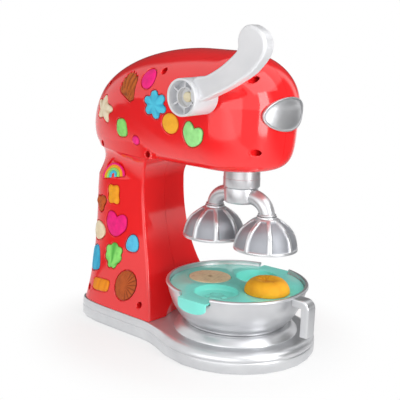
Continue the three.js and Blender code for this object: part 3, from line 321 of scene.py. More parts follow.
def at_level(outline, z):
    return np.c_[outline, np.full(len(outline), z)]


def rounded_quarter(power, count, samples=4000):
    """Turns from 0 to a quarter that are even along a curve of that squareness."""
    turns = np.linspace(0, math.pi / 2, samples)
    curve = np.c_[np.cos(turns) ** (2 / power), np.sin(turns) ** (2 / power)]
    return even(curve, count) * math.pi / 2


nose_points = 26
tail_points = 46
nose_turns = np.linspace(0, math.pi / 2, nose_points)
tail_turns = rounded_quarter(tail_power, tail_points)[1:]


def head_outline(z, grow=0):
    """The head seen from above at a height: a round nose, and sides drawn back to the tail."""
    half, tail = head_half(z, grow), tail_reach(z, grow)
    nose = np.c_[half * np.sin(nose_turns), nose_y - half * np.cos(nose_turns)]
    across = half * np.cos(tail_turns) ** (2 / tail_power)
    across[-1] = 0
    side = np.c_[across, nose_y + (tail - nose_y) * np.sin(tail_turns) ** (2 / tail_power)]
    return mirrored(np.vstack([nose, side]))


def column_plan(z, grow=0):
    """The column at a height: front, rear, half width in front and behind, and squareness."""
    fall = min(1, max(0, (waist_height - z) / (waist_height - foot_height)))
    rise = min(1, max(0, (z - waist_height) / throat_radius))
    lean = 1 - math.sqrt(1 - rise**2)
    radius = throat_radius - grow
    climb = min(radius, max(0, z - waist_height))
    throat = waist_front_y - throat_radius + math.sqrt(radius**2 - climb**2)
    front_half = mix(waist_half_width, shoulder_half_width, lean)
    front_half += (foot_half_width - waist_half_width) * fall**3
    spread = mix(mix(waist_rear_spread, -shoulder_tuck, rise), 0, fall**2)
    from_neck = abs(z - waist_height - throat_radius / 2) / throat_radius
    dip = neck_dip * math.sin(min(1, max(0, 1 - from_neck)) * math.pi / 2)
    rear = mix(column_rear_y, tail_reach(z) - shoulder_tuck / 2, rise**2)
    front = throat - (waist_front_y - foot_front_y) * fall**2
    power = mix(column_power, foot_power, fall**2)
    return front, rear - dip + grow, front_half + grow, front_half + spread + grow, power


face_points = 12
corner_points = 6
side_points = 36
corner_turns = np.linspace(0, math.pi / 2, corner_points)
throat_levels = (186, 188.5, 191, 194, 197, 200, swell_end)


def column_outline(z, grow=0):
    """The column seen from above: a flat front, small corners and a squared round rear."""
    front, rear, front_half, rear_half, power = column_plan(z, grow)
    face = np.linspace(0, front_half - column_edge, face_points, endpoint=False)
    face = np.c_[face, np.full(len(face), front)]
    corner_x = front_half - column_edge * (1 - np.sin(corner_turns))
    corner = np.c_[corner_x, front + column_edge * (1 - np.cos(corner_turns))]
    turns = rounded_quarter(power, side_points)[1:]
    along = np.sin(turns) ** (2 / power)
    across = mix(front_half, rear_half, along) * np.cos(turns) ** (2 / power)
    across[-1] = 0
    side = np.c_[across, front + column_edge + (rear - front - column_edge) * along]
    return mirrored(np.vstack([face, corner, side]))


def crease(points):
    """Moves points of the head's sides outwards along the two soft creases over the column."""
    points = points.copy()
    flat = points[:, 1:]
    for start, end in creases:
        start, along = np.array(start, float), np.subtract(end, start)
        share = np.clip((flat - start) @ along / (along @ along), 0, 1)
        away = np.linalg.norm(flat - start - share[:, None] * along, axis=1)
        fade = np.sin(np.clip(share, 0.02, 0.98) * math.pi) ** 0.5
        lift = crease_height * fade * np.exp(-((away / crease_width) ** 2))
        points[:, 0] += np.sign(points[:, 0]) * lift * (np.abs(points[:, 0]) > waist_half_width)
    return points


def new_piece(name, points, faces):
    """A mesh object from points in millimetres, at the origin, in metres, its faces turned outwards."""
    points = np.asarray(points, float) * mm
    fans = [(f[0], f[i], f[i + 1]) for f in faces for i in range(1, len(f) - 1)]
    if fans:
        a, b, c = points[np.array(fans)].transpose(1, 0, 2)
        if np.einsum("ij,ij->", a, np.cross(b, c)) < 0:
            faces = [tuple(reversed(f)) for f in faces]
    mesh = bpy.data.meshes.new(name)
    mesh.from_pydata([tuple(p) for p in points], [], faces)
    mesh.validate()
    obj = bpy.data.objects.new(name, mesh)
    bpy.context.scene.collection.objects.link(obj)
    return obj


def skin(name, rings, closed=False):
    """A piece through rings of as many points, capped at both ends or closed into a tube's ring."""
    levels, count = len(rings), len(rings[0])
    faces = []
    for level in range(levels if closed else levels - 1):
        low, high = level * count, (level + 1) % levels * count
        for i in range(count):
            j = (i + 1) % count
            faces.append((low + i, low + j, high + j, high + i))
    if not closed:
        faces.append(tuple(reversed(range(count))))
        faces.append(tuple((levels - 1) * count + i for i in range(count)))
    return new_piece(name, np.vstack(rings), faces)


cut, join, overlap = "DIFFERENCE", "UNION", "INTERSECT"


def combine(body, operation, *tools):
    """Cuts, adds or intersects closed pieces with a body; the tools are removed."""
    for tool in tools:
        modifier = body.modifiers.new("combine", "BOOLEAN")
        modifier.solver = "MANIFOLD"
        modifier.operation = operation
        modifier.object = tool
        bake(body)
        bpy.data.objects.remove(tool)
    return body


def bake(obj):
    """Turns an object's modifiers into its plain mesh."""
    bpy.context.view_layer.update()
    made = bpy.data.meshes.new_from_object(obj.evaluated_get(bpy.context.evaluated_depsgraph_get()))
    obj.modifiers.clear()
    old = obj.data
    obj.data = made
    made.name = obj.name
    bpy.data.meshes.remove(old)


def smooth(obj, angle=32):
    """Smooth faces with sharp edges where they meet at more than the angle."""
    obj.data.polygons.foreach_set("use_smooth", [True] * len(obj.data.polygons))
    obj.data.set_sharp_from_angle(angle=math.radians(angle))
    return obj


def copy_of(obj, name):
    made = bpy.data.objects.new(name, obj.data.copy())
    bpy.context.scene.collection.objects.link(made)
    return made


def head_form(name, grow, fine):
    """The head as rings from its underside up, with fewer of them where it isn't seen."""
    turns = rounded_quarter(chin_power, int(head_rings_below * fine), 3000)[1:-1]
    drop = np.sin(turns) ** (2 / chin_power)
    low = head_widest - (head_widest - head_floor + grow) * drop[::-1]
    rise = np.sin(np.linspace(0, head_crown_share, int(head_rings_above * fine)) * math.pi / 2)
    high = head_widest + (head_top - head_widest + grow) * rise
    return skin(name, [crease(at_level(head_outline(z, grow), z)) for z in np.r_[low, high]])


def swollen(outline, z, grow):
    """The column's outline, let out softly towards the head's underside, except at its front."""
    rise = min(1, (z - swell_start) / (swell_end - swell_start))
    if rise <= 0:
        return outline
    middle = np.array((0, swell_middle_y))
    away = head_outline(swell_end, grow - swell_inset) - middle
    turns = np.arctan2(away[:, 1], away[:, 0])
    order = np.argsort(turns)
    own = outline - middle
    own_turns = np.arctan2(own[:, 1], own[:, 0])
    head_reach = np.linalg.norm(away, axis=1)[order]
    goal = np.interp(own_turns, turns[order], head_reach, period=2 * math.pi)
    from_front = outline[:, 1] - outline[:, 1].min() - swell_front
    share = rise**swell_power * soft(np.clip(from_front / swell_front_run, 0, 1))
    return middle + own * (1 + share * np.maximum(0, goal / np.linalg.norm(own, axis=1) - 1))[:, None]


def column_form(name, grow, bottom, fine):
    """The column as rings from the base to inside the head."""
    lower = np.linspace(foot_height, waist_height, int(column_rings * fine), endpoint=False)
    turns = np.linspace(0, 1, int(throat_rings * fine)) * math.pi / 2
    bend = waist_height + throat_radius * np.sin(turns)
    levels = (*lower, *bend, *throat_levels)
    rings = [at_level(swollen(column_outline(z, grow), z, grow), z) for z in levels]
    rings.append(at_level(column_outline(column_top, grow), column_top))
    if bottom < foot_height:
        rings.insert(0, at_level(column_outline(foot_height, grow), bottom))
    return skin(name, rings)


def circle(radius, count=32):
    turns = np.arange(count) * 2 * math.pi / count
    return np.c_[radius * np.cos(turns), radius * np.sin(turns)]


def bar(name, radius, low, high, axis="Z", place=(0, 0), sides=48):
    """A round bar along Z at (x, y), or along X at (y, z)."""
    ring = circle(radius, sides) + place
    if axis == "Z":
        return skin(name, [at_level(ring, z) for z in (low, high)])
    return skin(name, [np.c_[np.full(sides, x), ring] for x in (low, high)])


def block(name, low, high):
    """A box between two of its corners."""
    (x0, y0, z0), (x1, y1, z1) = low, high
    ring = np.array([(x0, y0), (x1, y0), (x1, y1), (x0, y1)])
    return skin(name, [at_level(ring, z0), at_level(ring, z1)])


def housing_form(name, grow, bottom=foot_height, fine=1.0):
    """Head and column in one, let out by grow, with the round recess for the bowl."""
    form = combine(head_form(name, grow, fine), join, column_form("column_form", grow, bottom, fine))
    recess = bar("recess", bowl_recess - grow, bottom - 1, bowl_recess_top, sides=160)
    return combine(form, cut, recess)


outer_form = housing_form("outer_form", 0)
shell_surface = BVHTree.FromPolygons(
    [v.co for v in outer_form.data.vertices], [tuple(p.vertices) for p in outer_form.data.polygons]
)

screw_places_share = {
    "body_screw_crown": (0.335, 0.926),
    "body_screw_tail": (0.775, 0.86),
    "body_screw_nape": (0.835, 0.643),
    "body_screw_throat": (0.415, 0.645),
    "body_screw_nose": (-0.165, 0.922),
    "body_screw_chin": (-0.205, 0.697),
    "body_screw_foot_front": (0.45, 0.108),
    "body_screw_foot_rear": (0.88, 0.108),
}
screw_places = {n: (y * places_y, z * head_top) for n, (y, z) in screw_places_share.items()}
well_radius = 3.2
well_floor = 4
well_room = 4.7
boss_radius = 5.4
screw_radius = 1.4
clearance = 0.3
long_screw_y = 125
long_screw_x = foot_half_width - 2 * boss_radius
crank_height = 254
crank_hub_inner = 59.6
crank_boss_depth = 14
end_boss_depth = 22
spindle_boss_top = 208
spindle_boss_radius = 14
crank_boss_radius = 11.5
spindle_bore = 10.3
crank_bore = 7.8
end_bore = 6.8
post_top = 34.6
post_bore = 1.7
post_bore_top = 32
pilot_depth = 12
housing_side = head_half_width + foot_half_width
ray_start = 40


def shell_at(origin, outward):
    """The left shell's surface under a point, seen along the way inwards: place and normal."""
    start = Vector(origin) * mm + Vector(outward) * ray_start * mm
    place, normal, _, _ = shell_surface.ray_cast(start, -Vector(outward))
    return np.array(place) / mm, np.array(normal)


def pressed_frame(place_share, quarter_turns):
    """A mould's origin on the left shell's side, and the ways outwards and across."""
    y, z = place_share[0] * places_y, place_share[1] * head_top
    angle = quarter_turns * math.pi / 2
    outward = np.array((-math.cos(angle), math.sin(angle), 0))
    across = np.array((-math.sin(angle), -math.cos(angle), 0))
    origin, _ = shell_at((-head_half_width, y, z), (-1, 0, 0))
    return origin, outward, across


def laid(outline, frame_of, height):
    """An outline in the mould's own plane, laid on the shell and lifted along its normals."""
    origin, outward, across = frame_of
    heights = np.broadcast_to(height, len(outline))
    ring = []
    for (u, v), lift in zip(outline, heights):
        place, normal = shell_at(origin + across * u + np.array((0, 0, v)), outward)
        ring.append(place + normal * lift)
    return np.array(ring)


def normalised(rows):
    return rows / np.linalg.norm(rows, axis=1)[:, None]


def grown(outline, amount):
    """A closed outline moved out square to itself."""
    along = normalised(np.roll(outline, -1, axis=0) - np.roll(outline, 1, axis=0))
    return outline + np.c_[along[:, 1], -along[:, 0]] * amount


lip = 0.6
pocket_gap = 0.8
pocket_depth = 2
pocket_overlap = 1.5


def pocket(name, outline, frame_of, gap=pocket_gap, depth=pocket_depth):
    """The tool for a mould in the shell: it follows the surface and leaves a small slanted lip."""
    wide, body = grown(outline, gap + lip), grown(outline, gap)
    middle = wide.mean(axis=0)
    steps = [(mix(middle, body, share), -depth) for share in (0.05, 0.4, 0.75)]
    steps += [(body, -depth), (body, -lip), (wide, 0.05), (wide, pocket_overlap)]
    steps += [(mix(middle, wide, share), pocket_overlap) for share in (0.75, 0.4, 0.05)]
    return skin(name, [laid(ring, frame_of, height) for ring, height in steps])


# The outlines of the moulds in the side are about one unit wide and tall, and are seen from outside.
points_round = 72
round_turns = np.arange(points_round) * 2 * math.pi / points_round


def polar(radius):
    return np.c_[-radius * np.sin(round_turns) / 2, radius * np.cos(round_turns) / 2]


def lobed(lobes, depth, sharp=0):
    """A flower or a star; sharp narrows or widens its lobes."""
    wave = np.cos(lobes * round_turns) + sharp * np.cos(2 * lobes * round_turns)
    radius = 1 + depth * wave
    return polar(radius / radius[0])


def squared(power):
    """An ellipse at a power of 2, and nearer to a square above it."""
    radius = (np.abs(np.cos(round_turns)) ** power + np.abs(np.sin(round_turns)) ** power) ** (-1 / power)
    return polar(radius)


def tapered(outline, low, top):
    """The outline with its width changed in shares from the bottom to the top."""
    outline = outline.copy()
    outline[:, 0] *= mix(low, top, outline[:, 1] + 0.5)
    return outline


def heart():
    """A soft heart: a round outline with a cleft above, full cheeks and a blunt tip."""
    turns = np.abs(np.arctan2(np.sin(round_turns), np.cos(round_turns)))
    cleft = 0.34 * np.exp(-((turns / 0.3) ** 2))
    cheeks = 0.18 * np.exp(-(((turns - 0.7) / 0.4) ** 2))
    tip = 0.26 * np.exp(-(((math.pi - turns) / 0.55) ** 2))
    outline = polar(0.9 - cleft + cheeks + tip)
    return (outline - (outline.min(axis=0) + outline.max(axis=0)) / 2) / np.ptp(outline, axis=0)


def between(start, end, shares):
    return [mix(np.array(start), np.array(end), share) for share in shares]


def fan():
    """A fan shell: a scalloped edge over four ribs, and straight sides down to a narrow foot."""
    ribs, spread, width, scallop, foot = 4, 0.62, 0.62, 0.05, 0.12
    share = np.linspace(0, 1, points_round - 12)
    turns = (1 + mix(-spread, spread, share)) * math.pi / 2
    reach = 1 - scallop * (1 + np.cos(2 * ribs * share * 2 * math.pi))
    edge = np.c_[width * reach * np.cos(turns), reach * np.sin(turns) - 0.5]
    left_foot, right_foot = (-foot, -0.5), (foot, -0.5)
    left_side = between(edge[-1], left_foot, (0.25, 0.5, 0.75, 0.97))
    low = between(left_foot, right_foot, (0.12, 0.37, 0.63, 0.88))
    return np.vstack([edge, left_side, low, between(right_foot, edge[0], (0.03, 0.25, 0.5, 0.75))])


def arch():
    """An arch: a round top, straight legs, and a small hollow between them."""
    legs_top, hollow_half, hollow_top = -0.2, 0.16, -0.14
    over = np.linspace(0, math.pi, 40)
    under = np.linspace(0, math.pi, 16)
    outside = np.c_[np.cos(over) / 2, mix(legs_top, 0.5, np.sin(over))]
    inside = np.c_[-hollow_half * np.cos(under), mix(-0.5, hollow_top, np.sin(under))]
    left_leg = [(-0.5, z) for z in np.linspace(legs_top, -0.5, 5)[1:]]
    right_leg = [(0.5, z) for z in np.linspace(-0.5, legs_top, 6)[:-1]]
    return np.vstack([outside, left_leg, inside, right_leg])


clay_width = 20
clay_moulds = {
    # outline, place as shares of the head's length and top, size, and tilt and turn in quarter turns
    "clay_star": (lobed(5, 0.25, 0.08), (0.79, 0.772), (1.85, 1.45), -0.1, 0.24),
    "clay_fan_shell": (fan(), (0.565, 0.863), (1.38, 1.5), 0.36, 0.09),
    "clay_oval": (squared(2), (0.423, 0.897), (0.93, 0.95), 0.12, 0.04),
    "clay_blue_flower": (lobed(6, 0.16, -0.22), (0.345, 0.818), (1.55, 1.38), 0.1, 0.03),
    "clay_yellow_disc": (squared(2), (0.235, 0.764), (1.05, 0.99), 0, 0),
    "clay_green_heart": (heart(), (0.087, 0.736), (1.22, 1.12), -0.22, 0),
    "clay_gumdrop": (tapered(squared(3), 1, 0.85), (0.612, 0.72), (0.9, 0.92), 0.08, 0.1),
    "clay_dot": (squared(2), (0.498, 0.686), (0.5, 0.45), 0, 0.05),
    "clay_rainbow": (arch(), (0.755, 0.56), (1.4, 0.95), 0.14, 0.16),
    "clay_sweet": (lobed(4, -0.15), (0.742, 0.466), (0.66, 0.92), 0.02, 0.12),
    "clay_cluster": (lobed(3, 0.2)[::-1] * (1, -1), (0.85, 0.425), (0.95, 1), 0.1, 0.42),
    "clay_magenta_heart": (heart(), (0.718, 0.358), (1.35, 1.27), -0.08, 0.1),
    "clay_ellipse": (squared(2), (0.865, 0.32), (1.15, 1.02), 0, 0.45),
    "clay_drop": (tapered(squared(2.4), 1, 0.6), (0.592, 0.304), (0.95, 0.9), 0, 0.02),
    "clay_stick": (squared(5), (0.87, 0.217), (0.85, 1.35), 0.2, 0.42),
    "clay_green_flower": (tapered(lobed(7, 0.08, -0.2), 0.7, 1.1), (0.715, 0.245), (1.3, 1.38), 0, 0.08),
    "clay_block": (squared(5), (0.775, 0.133), (1.3, 0.62), 0.05, 0.12),
    "clay_scallop": (lobed(18, 0.015), (0.586, 0.157), (1.42, 1.5), 0, 0),
}


def sized(outline, size, tilt):
    """A mould's outline at its true size, turned by its tilt."""
    u, v = (outline * size * clay_width).T
    angle = tilt * math.pi / 2
    return np.c_[u * math.cos(angle) - v * math.sin(angle), u * math.sin(angle) + v * math.cos(angle)]


crank_boss_end = crank_boss_depth - crank_hub_inner
crank_axis = (0, crank_height)
post_places = [(way * long_screw_x, long_screw_y) for way in (-1, 1)]
hollow = combine(
    housing_form("hollow", -shell_wall, foot_height - 1, 0.5),
    cut,
    *[bar("boss", boss_radius, -housing_side, housing_side, "X", p, 24) for p in screw_places.values()],
    *[bar("post", boss_radius, foot_height, post_top, "Z", p, 24) for p in post_places],
    bar("spindle_boss", spindle_boss_radius, head_floor, spindle_boss_top),
    bar("crank_boss", crank_boss_radius, -housing_side, crank_boss_end, "X", crank_axis),
    bar("end_boss", crank_boss_radius, head_half_width - end_boss_depth, housing_side, "X", crank_axis),
)
whole = combine(
    copy_of(outer_form, "whole_housing"),
    cut,
    hollow,
    bar("spindle_bore", spindle_bore, head_floor - shell_wall, spindle_boss_top + 1),
    bar("crank_bore", crank_bore, -housing_side, crank_boss_end + 1, "X", crank_axis),
    bar("end_bore", end_bore, 0, head_half_width - 2 * shell_wall, "X", crank_axis),
    *[bar("post_bore", post_bore, foot_height - 1, post_bore_top, "Z", p, 16) for p in post_places],
)
left_shell = copy_of(whole, "left_shell_moulding")
right_shell = copy_of(whole, "right_shell_moulding")
bpy.data.objects.remove(whole)
far = head_top + housing_side
combine(left_shell, overlap, block("left_half", (-far, -far, -far), (-seam_gap / 2, far, far)))
combine(right_shell, overlap, block("right_half", (seam_gap / 2, -far, -far), (far, far, far)))
for y, z in screw_places.values():
    place, normal = shell_at((-head_half_width, y, z), (-1, 0, 0))
    frame_of = (place, np.array((-1.0, 0, 0)), np.array((0, -1.0, 0)))
    slope = math.sqrt(1 - normal[0] ** 2) / abs(normal[0])
    room_start = min(place[0] + shell_wall + (well_room + 1) * slope, -well_floor - 1)
    combine(
        left_shell,
        cut,
        pocket("well_lip", circle(well_radius), frame_of, 0, 1),
        bar("well", well_radius, -housing_side, -well_floor, "X", (y, z), 32),
        bar("well_room", well_room, room_start, -well_floor, "X", (y, z), 32),
        bar("shank_hole", screw_radius + clearance, -well_floor - 1, 1, "X", (y, z), 16),
    )
    combine(right_shell, cut, bar("pilot", screw_radius + clearance, -1, pilot_depth, "X", (y, z), 16))
for outline, place, size, tilt, quarter_turns in clay_moulds.values():
    combine(left_shell, cut, pocket("mould", sized(outline, size, tilt), pressed_frame(place, quarter_turns)))
bpy.data.objects.remove(outer_form)


def paint(r, g, b):
    """A colour of 0 to 255 as Blender's linear colour."""
    shares = [c / 255 for c in (r, g, b)]
    return (*[s / 12.92 if s <= 0.04045 else ((s + 0.055) / 1.055) ** 2.4 for s in shares], 1)


def skin_group(name, inputs):
    """A shader group with named inputs, which puts out a colour, a roughness and a normal."""
    tree = bpy.data.node_groups.new(name, "ShaderNodeTree")
    for label, value in inputs.items():
        kind = "NodeSocketColor" if isinstance(value, tuple) else "NodeSocketFloat"
        tree.interface.new_socket(name=label, in_out="INPUT", socket_type=kind).default_value = value
    for label, kind in (("Colour", "Color"), ("Roughness", "Float"), ("Normal", "Vector")):
        tree.interface.new_socket(name=label, in_out="OUTPUT", socket_type="NodeSocket" + kind)
    return tree, add_node(tree, "NodeGroupInput").outputs


def noise_node(tree, place, scale, detail):
    inputs = {"Vector": place, "Scale": scale, "Detail": detail}
    return add_node(tree, "ShaderNodeTexNoise", inputs).outputs[0]


def blend_colour(tree, share, first, second):
    inputs = {"Factor": share, "A": first, "B": second}
    return add_node(tree, "ShaderNodeMix", inputs, data_type="RGBA").outputs["Result"]


def moulded_skin_group():
    """Moulded plastic: faint flow marks in the colour, uneven polish and a fine skin like orange peel."""
    tree, given = skin_group(
        "moulded_skin",
        {
            "Colour": white,
            "Deep Colour": (0.5, 0.5, 0.5, 1),
            "Flow Scale": 12.0,
            "Roughness": 0.2,
            "Roughness Spread": 0.08,
            "Peel Scale": 300.0,
            "Peel Height": 0.00001,
        },
    )
    place = add_node(tree, "ShaderNodeTexCoord").outputs["Object"]
    flow = noise_node(tree, place, given["Flow Scale"], 2)
    limits = {"Value": flow, "From Min": 0.35, "From Max": 0.7}
    marks = add_node(tree, "ShaderNodeMapRange", limits).outputs[0]
    peel = noise_node(tree, place, given["Peel Scale"], 3)
    bump = add_node(tree, "ShaderNodeBump", {"Height": peel, "Distance": given["Peel Height"]})
    outputs = {
        "Colour": blend_colour(tree, marks, given["Colour"], given["Deep Colour"]),
        "Roughness": math_node(tree, "MULTIPLY_ADD", marks, given["Roughness Spread"], given["Roughness"]),
        "Normal": bump.outputs[0],
    }
    add_node(tree, "NodeGroupOutput", outputs)
    return tree


def skinned(name, group, values, own):
    """A material whose shader has plain values of its own and takes the rest from a skin group."""
    material = bpy.data.materials.new(name)
    material.use_nodes = True
    tree = material.node_tree
    shader = tree.nodes["Principled BSDF"]
    given = add_node(tree, "ShaderNodeGroup", node_tree=group)
    for socket, value in zip(given.inputs, values):
        socket.default_value = value
    for output, socket in (("Colour", "Base Color"), ("Roughness", "Roughness"), ("Normal", "Normal")):
        tree.links.new(given.outputs[output], shader.inputs[socket])
    for socket, value in own.items():
        shader.inputs[socket.replace("_", " ")].default_value = value
    return material, shader, given.outputs


moulded_skin = moulded_skin_group()
panel_roughness = 0.25


def moulded(name, colour, deep, roughness, spread, flow, peel, height, panel=None, **own):
    """A plastic finish; panel is a darker colour painted as shade on the areas that a mesh marks as sunk
    panels.
    """
    values = (colour, deep, flow, roughness, spread, peel, height)
    material, shader, given = skinned(name, moulded_skin, values, own)
    if panel:
        tree = material.node_tree
        # The sunk panels are painted a darker colour as shade, and made rougher.
        sunk = add_node(tree, "ShaderNodeAttribute", attribute_name="panel").outputs["Fac"]
        shaded_panels = blend_colour(tree, sunk, given["Colour"], panel)
        tree.links.new(shaded_panels, shader.inputs["Base Color"])
        rougher = math_node(tree, "MULTIPLY_ADD", sunk, panel_roughness, given["Roughness"])
        tree.links.new(rougher, shader.inputs["Roughness"])
    return material


red_plastic = moulded(
    "red_gloss",
    paint(255, 42, 44),
    paint(246, 33, 37),
    roughness=0.07,
    spread=0.03,
    flow=9,
    peel=220,
    height=0.000012,
    Specular_IOR_Level=0.72,
)


def dress(obj, material, body, slot, *nodes):
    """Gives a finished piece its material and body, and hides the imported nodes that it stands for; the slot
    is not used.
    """
    obj.data.materials.clear()
    obj.data.materials.append(material)
    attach(obj, body)
    if nodes:
        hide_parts(*nodes)
    return obj


dress(smooth(left_shell), red_plastic, "housing", "red_plastic", "left_shell")
dress(smooth(right_shell), red_plastic, "housing", "red_plastic", "right_shell")


# Clay in the side. Eighteen soft shapes that a child has pressed into the moulds of the left shell: each
# fills its mould, stands a little proud with a rounded edge, and keeps thumb dents, crumbs and small cracks.
clay_low = 1.4
clay_edge = 0.9
clay_face = 0.55
clay_puff = 0.9
clay_gap = 0.1
clay_wobble = 0.28
clay_edge_power = 7
clay_edge_shade = 0.8
clay_rings = (1, 0.99, 0.965, 0.93, 0.88, 0.82, 0.74, 0.65, 0.56, 0.46, 0.36, 0.26, 0.16, 0.07)


def lump(place, scale, seed):
    """Soft unevenness from -1 to 1 at a point in millimetres."""
    return noise.noise(Vector(place) * scale + Vector((seed, 2.7 * seed, 5.1)))


def set_groove_shade(obj, values):
    """Stores the painted shade that each point gets, for the clay's material."""
    attribute = obj.data.attributes.new("groove_shade", "FLOAT", "POINT")
    attribute.data.foreach_set("value", np.clip(values, 0, 1).astype(np.float32))


def pressed_clay(name, outline, frame_of, size, relief, seed):
    """A pressed piece: rings from its under side round the soft edge to the middle of its face."""
    rings, groove_shades = [], []
    middle = outline.mean(axis=0)
    outline = grown(outline, -clay_gap)
    # The under side is painted fully in the shade colour.
    for share in (0.07, 0.5, 1):
        rings.append(laid(mix(middle, outline, share), frame_of, -clay_low))
        groove_shades.append(np.ones(len(outline)))
    for share in clay_rings:
        flat = mix(middle, outline, share)
        unit = flat / (np.array(size) * clay_width)
        rise = math.sqrt(1 - min(1, share**clay_edge_power))
        lift, groove_shade = relief(unit)
        wobble = np.array([lump((*p, 0), 0.13, seed) + 0.5 * lump((*p, 9), 0.35, seed) for p in flat])
        height = -clay_edge + (clay_face + clay_edge) * rise + clay_puff * (1 - share**2)
        rings.append(laid(flat, frame_of, height + rise * (lift + clay_wobble * wobble)))
        # Painted shade round the soft edge, where the clay meets its pocket, darkest towards the bottom.
        edge_shade = (1 - rise) ** 2 * clay_edge_shade
        groove_shades.append(np.maximum(groove_shade, edge_shade) * np.ones(len(outline)))
    clay = skin(name, rings)
    set_groove_shade(clay, np.concatenate(groove_shades))
    return smooth(clay, 60)


def bump(away, radius):
    """1 in the middle of a bump, and nearly nothing past its radius."""
    return np.exp(-((away / radius) ** 2))


def ripple(turns, power):
    """Waves from 0 to 1, sharper as the power grows."""
    return (0.5 + 0.5 * np.cos(turns)) ** power


# A relief tells how far points of a mould's face are lifted, and how much painted shade they get where the
# face is sunk.
dent_depth, dent_radius = 0.5, 0.16
petal_dent_depth, petal_dent_radius = 0.4, 0.12
ray_fade, petal_fade = 0.25, 0.3
# How much painted shade the sunk parts of each kind of relief get.
ray_shade, petal_shade, bar_shade, bump_shade = 0.85, 0.7, 0.5, 0.6
bump_level = 0.45


def plain(_):
    return 0, 0


def dented(unit):
    return -dent_depth * bump(np.linalg.norm(unit, axis=1), dent_radius), 0


def rays(count, centre, depth, spread=math.pi):
    """Grooves that run out from a point, with painted shade in them."""

    def relief(unit):
        turns = np.arctan2(unit[:, 0] - centre[0], unit[:, 1] - centre[1])
        away = np.linalg.norm(unit - centre, axis=1)
        wave = ripple(turns * count * math.pi / spread, 1.5)
        fade = np.clip(away / ray_fade, 0, 1)
        return -depth * wave * fade, ray_shade * wave**2 * fade

    return relief


def half_rays(count, depth):
    """Grooves that run out from the middle on the right, over a smooth left half."""
    around = rays(count, (0, 0), depth)

    def relief(unit):
        lift, groove_shade = around(unit)
        keep = np.clip(unit[:, 0] / 0.2 + 0.4, 0, 1)
        return lift * keep, groove_shade * keep

    return relief


def bumps(places, radius, height):
    """Nubs that stand up at some places, with painted shade on the low face between them."""

    def relief(unit):
        away = np.linalg.norm(unit[:, None] - np.array(places)[None], axis=2).min(axis=1)
        rise = bump(away, radius)
        return height * (rise - bump_level), bump_shade * np.clip(0.5 - rise, 0, 1)

    return relief


def bars_across(count, depth):
    """Straight sunk lines side by side, with painted shade in them."""

    def relief(unit):
        wave = ripple(unit[:, 0] * count * 2 * math.pi, 2)
        return -depth * wave, bar_shade * wave

    return relief


def petals(count, depth):
    """Grooves between petals, with painted shade in them, and a dent in the middle."""

    def relief(unit):
        turns = np.arctan2(-unit[:, 0], unit[:, 1])
        away = np.linalg.norm(unit, axis=1)
        wave = (0.5 - 0.5 * np.cos(count * turns)) ** 3 * np.clip(away / petal_fade, 0, 1)
        return -depth * wave - petal_dent_depth * bump(away, petal_dent_radius), petal_shade * wave

    return relief


fan_grooves = rays(7, (0, -0.62), 1.0, 0.62 * math.pi / 2)
three_nubs = bumps([(0, 0.25), (-0.22, -0.15), (0.22, -0.15)], 0.24, 0.9)
four_nubs = bumps([(0, 0.3), (-0.22, 0.05), (0.2, 0.02), (0.16, -0.32)], 0.2, 1.2)
five_nubs = bumps([(-0.24, 0.3), (0.24, 0.3), (-0.24, -0.3), (0.24, -0.3), (0, 0.05)], 0.2, 1.1)
clay_looks = {
    # relief, colour, deep colour for random mottle and painted shade, the record's slot
    "clay_star": (petals(5, 0.35), (250, 236, 206), (206, 172, 128), "cream_clay"),
    "clay_fan_shell": (fan_grooves, (205, 104, 36), (116, 44, 12), "brown_clay"),
    "clay_oval": (plain, (255, 30, 135), (196, 10, 92), "magenta_clay"),
    "clay_blue_flower": (petals(6, 0.28), (84, 208, 236), (30, 150, 196), "blue_clay"),
    "clay_yellow_disc": (plain, (255, 186, 44), (226, 140, 18), "yellow_clay"),
    "clay_green_heart": (plain, (166, 240, 150), (96, 190, 96), "green_clay"),
    "clay_gumdrop": (three_nubs, (150, 232, 120), (84, 176, 74), "green_clay"),
    "clay_dot": (plain, (255, 38, 140), (196, 12, 96), "magenta_clay"),
    "clay_sweet": (five_nubs, (255, 176, 26), (222, 124, 10), "yellow_clay"),
    "clay_cluster": (four_nubs, (206, 96, 32), (128, 48, 12), "brown_clay"),
    "clay_magenta_heart": (plain, (255, 22, 134), (190, 4, 88), "magenta_clay"),
    "clay_ellipse": (plain, (252, 236, 202), (214, 180, 130), "cream_clay"),
    "clay_drop": (dented, (92, 204, 240), (34, 140, 196), "blue_clay"),
    "clay_stick": (bars_across(2, 0.4), (70, 196, 232), (24, 132, 184), "blue_clay"),
    "clay_green_flower": (rays(6, (0, -0.42), 1.0), (150, 240, 120), (72, 178, 62), "green_clay"),
    "clay_block": (bars_across(3, 0.35), (255, 160, 24), (224, 112, 10), "orange_clay"),
    "clay_scallop": (half_rays(18, 0.8), (196, 92, 34), (112, 42, 12), "brown_clay"),
}


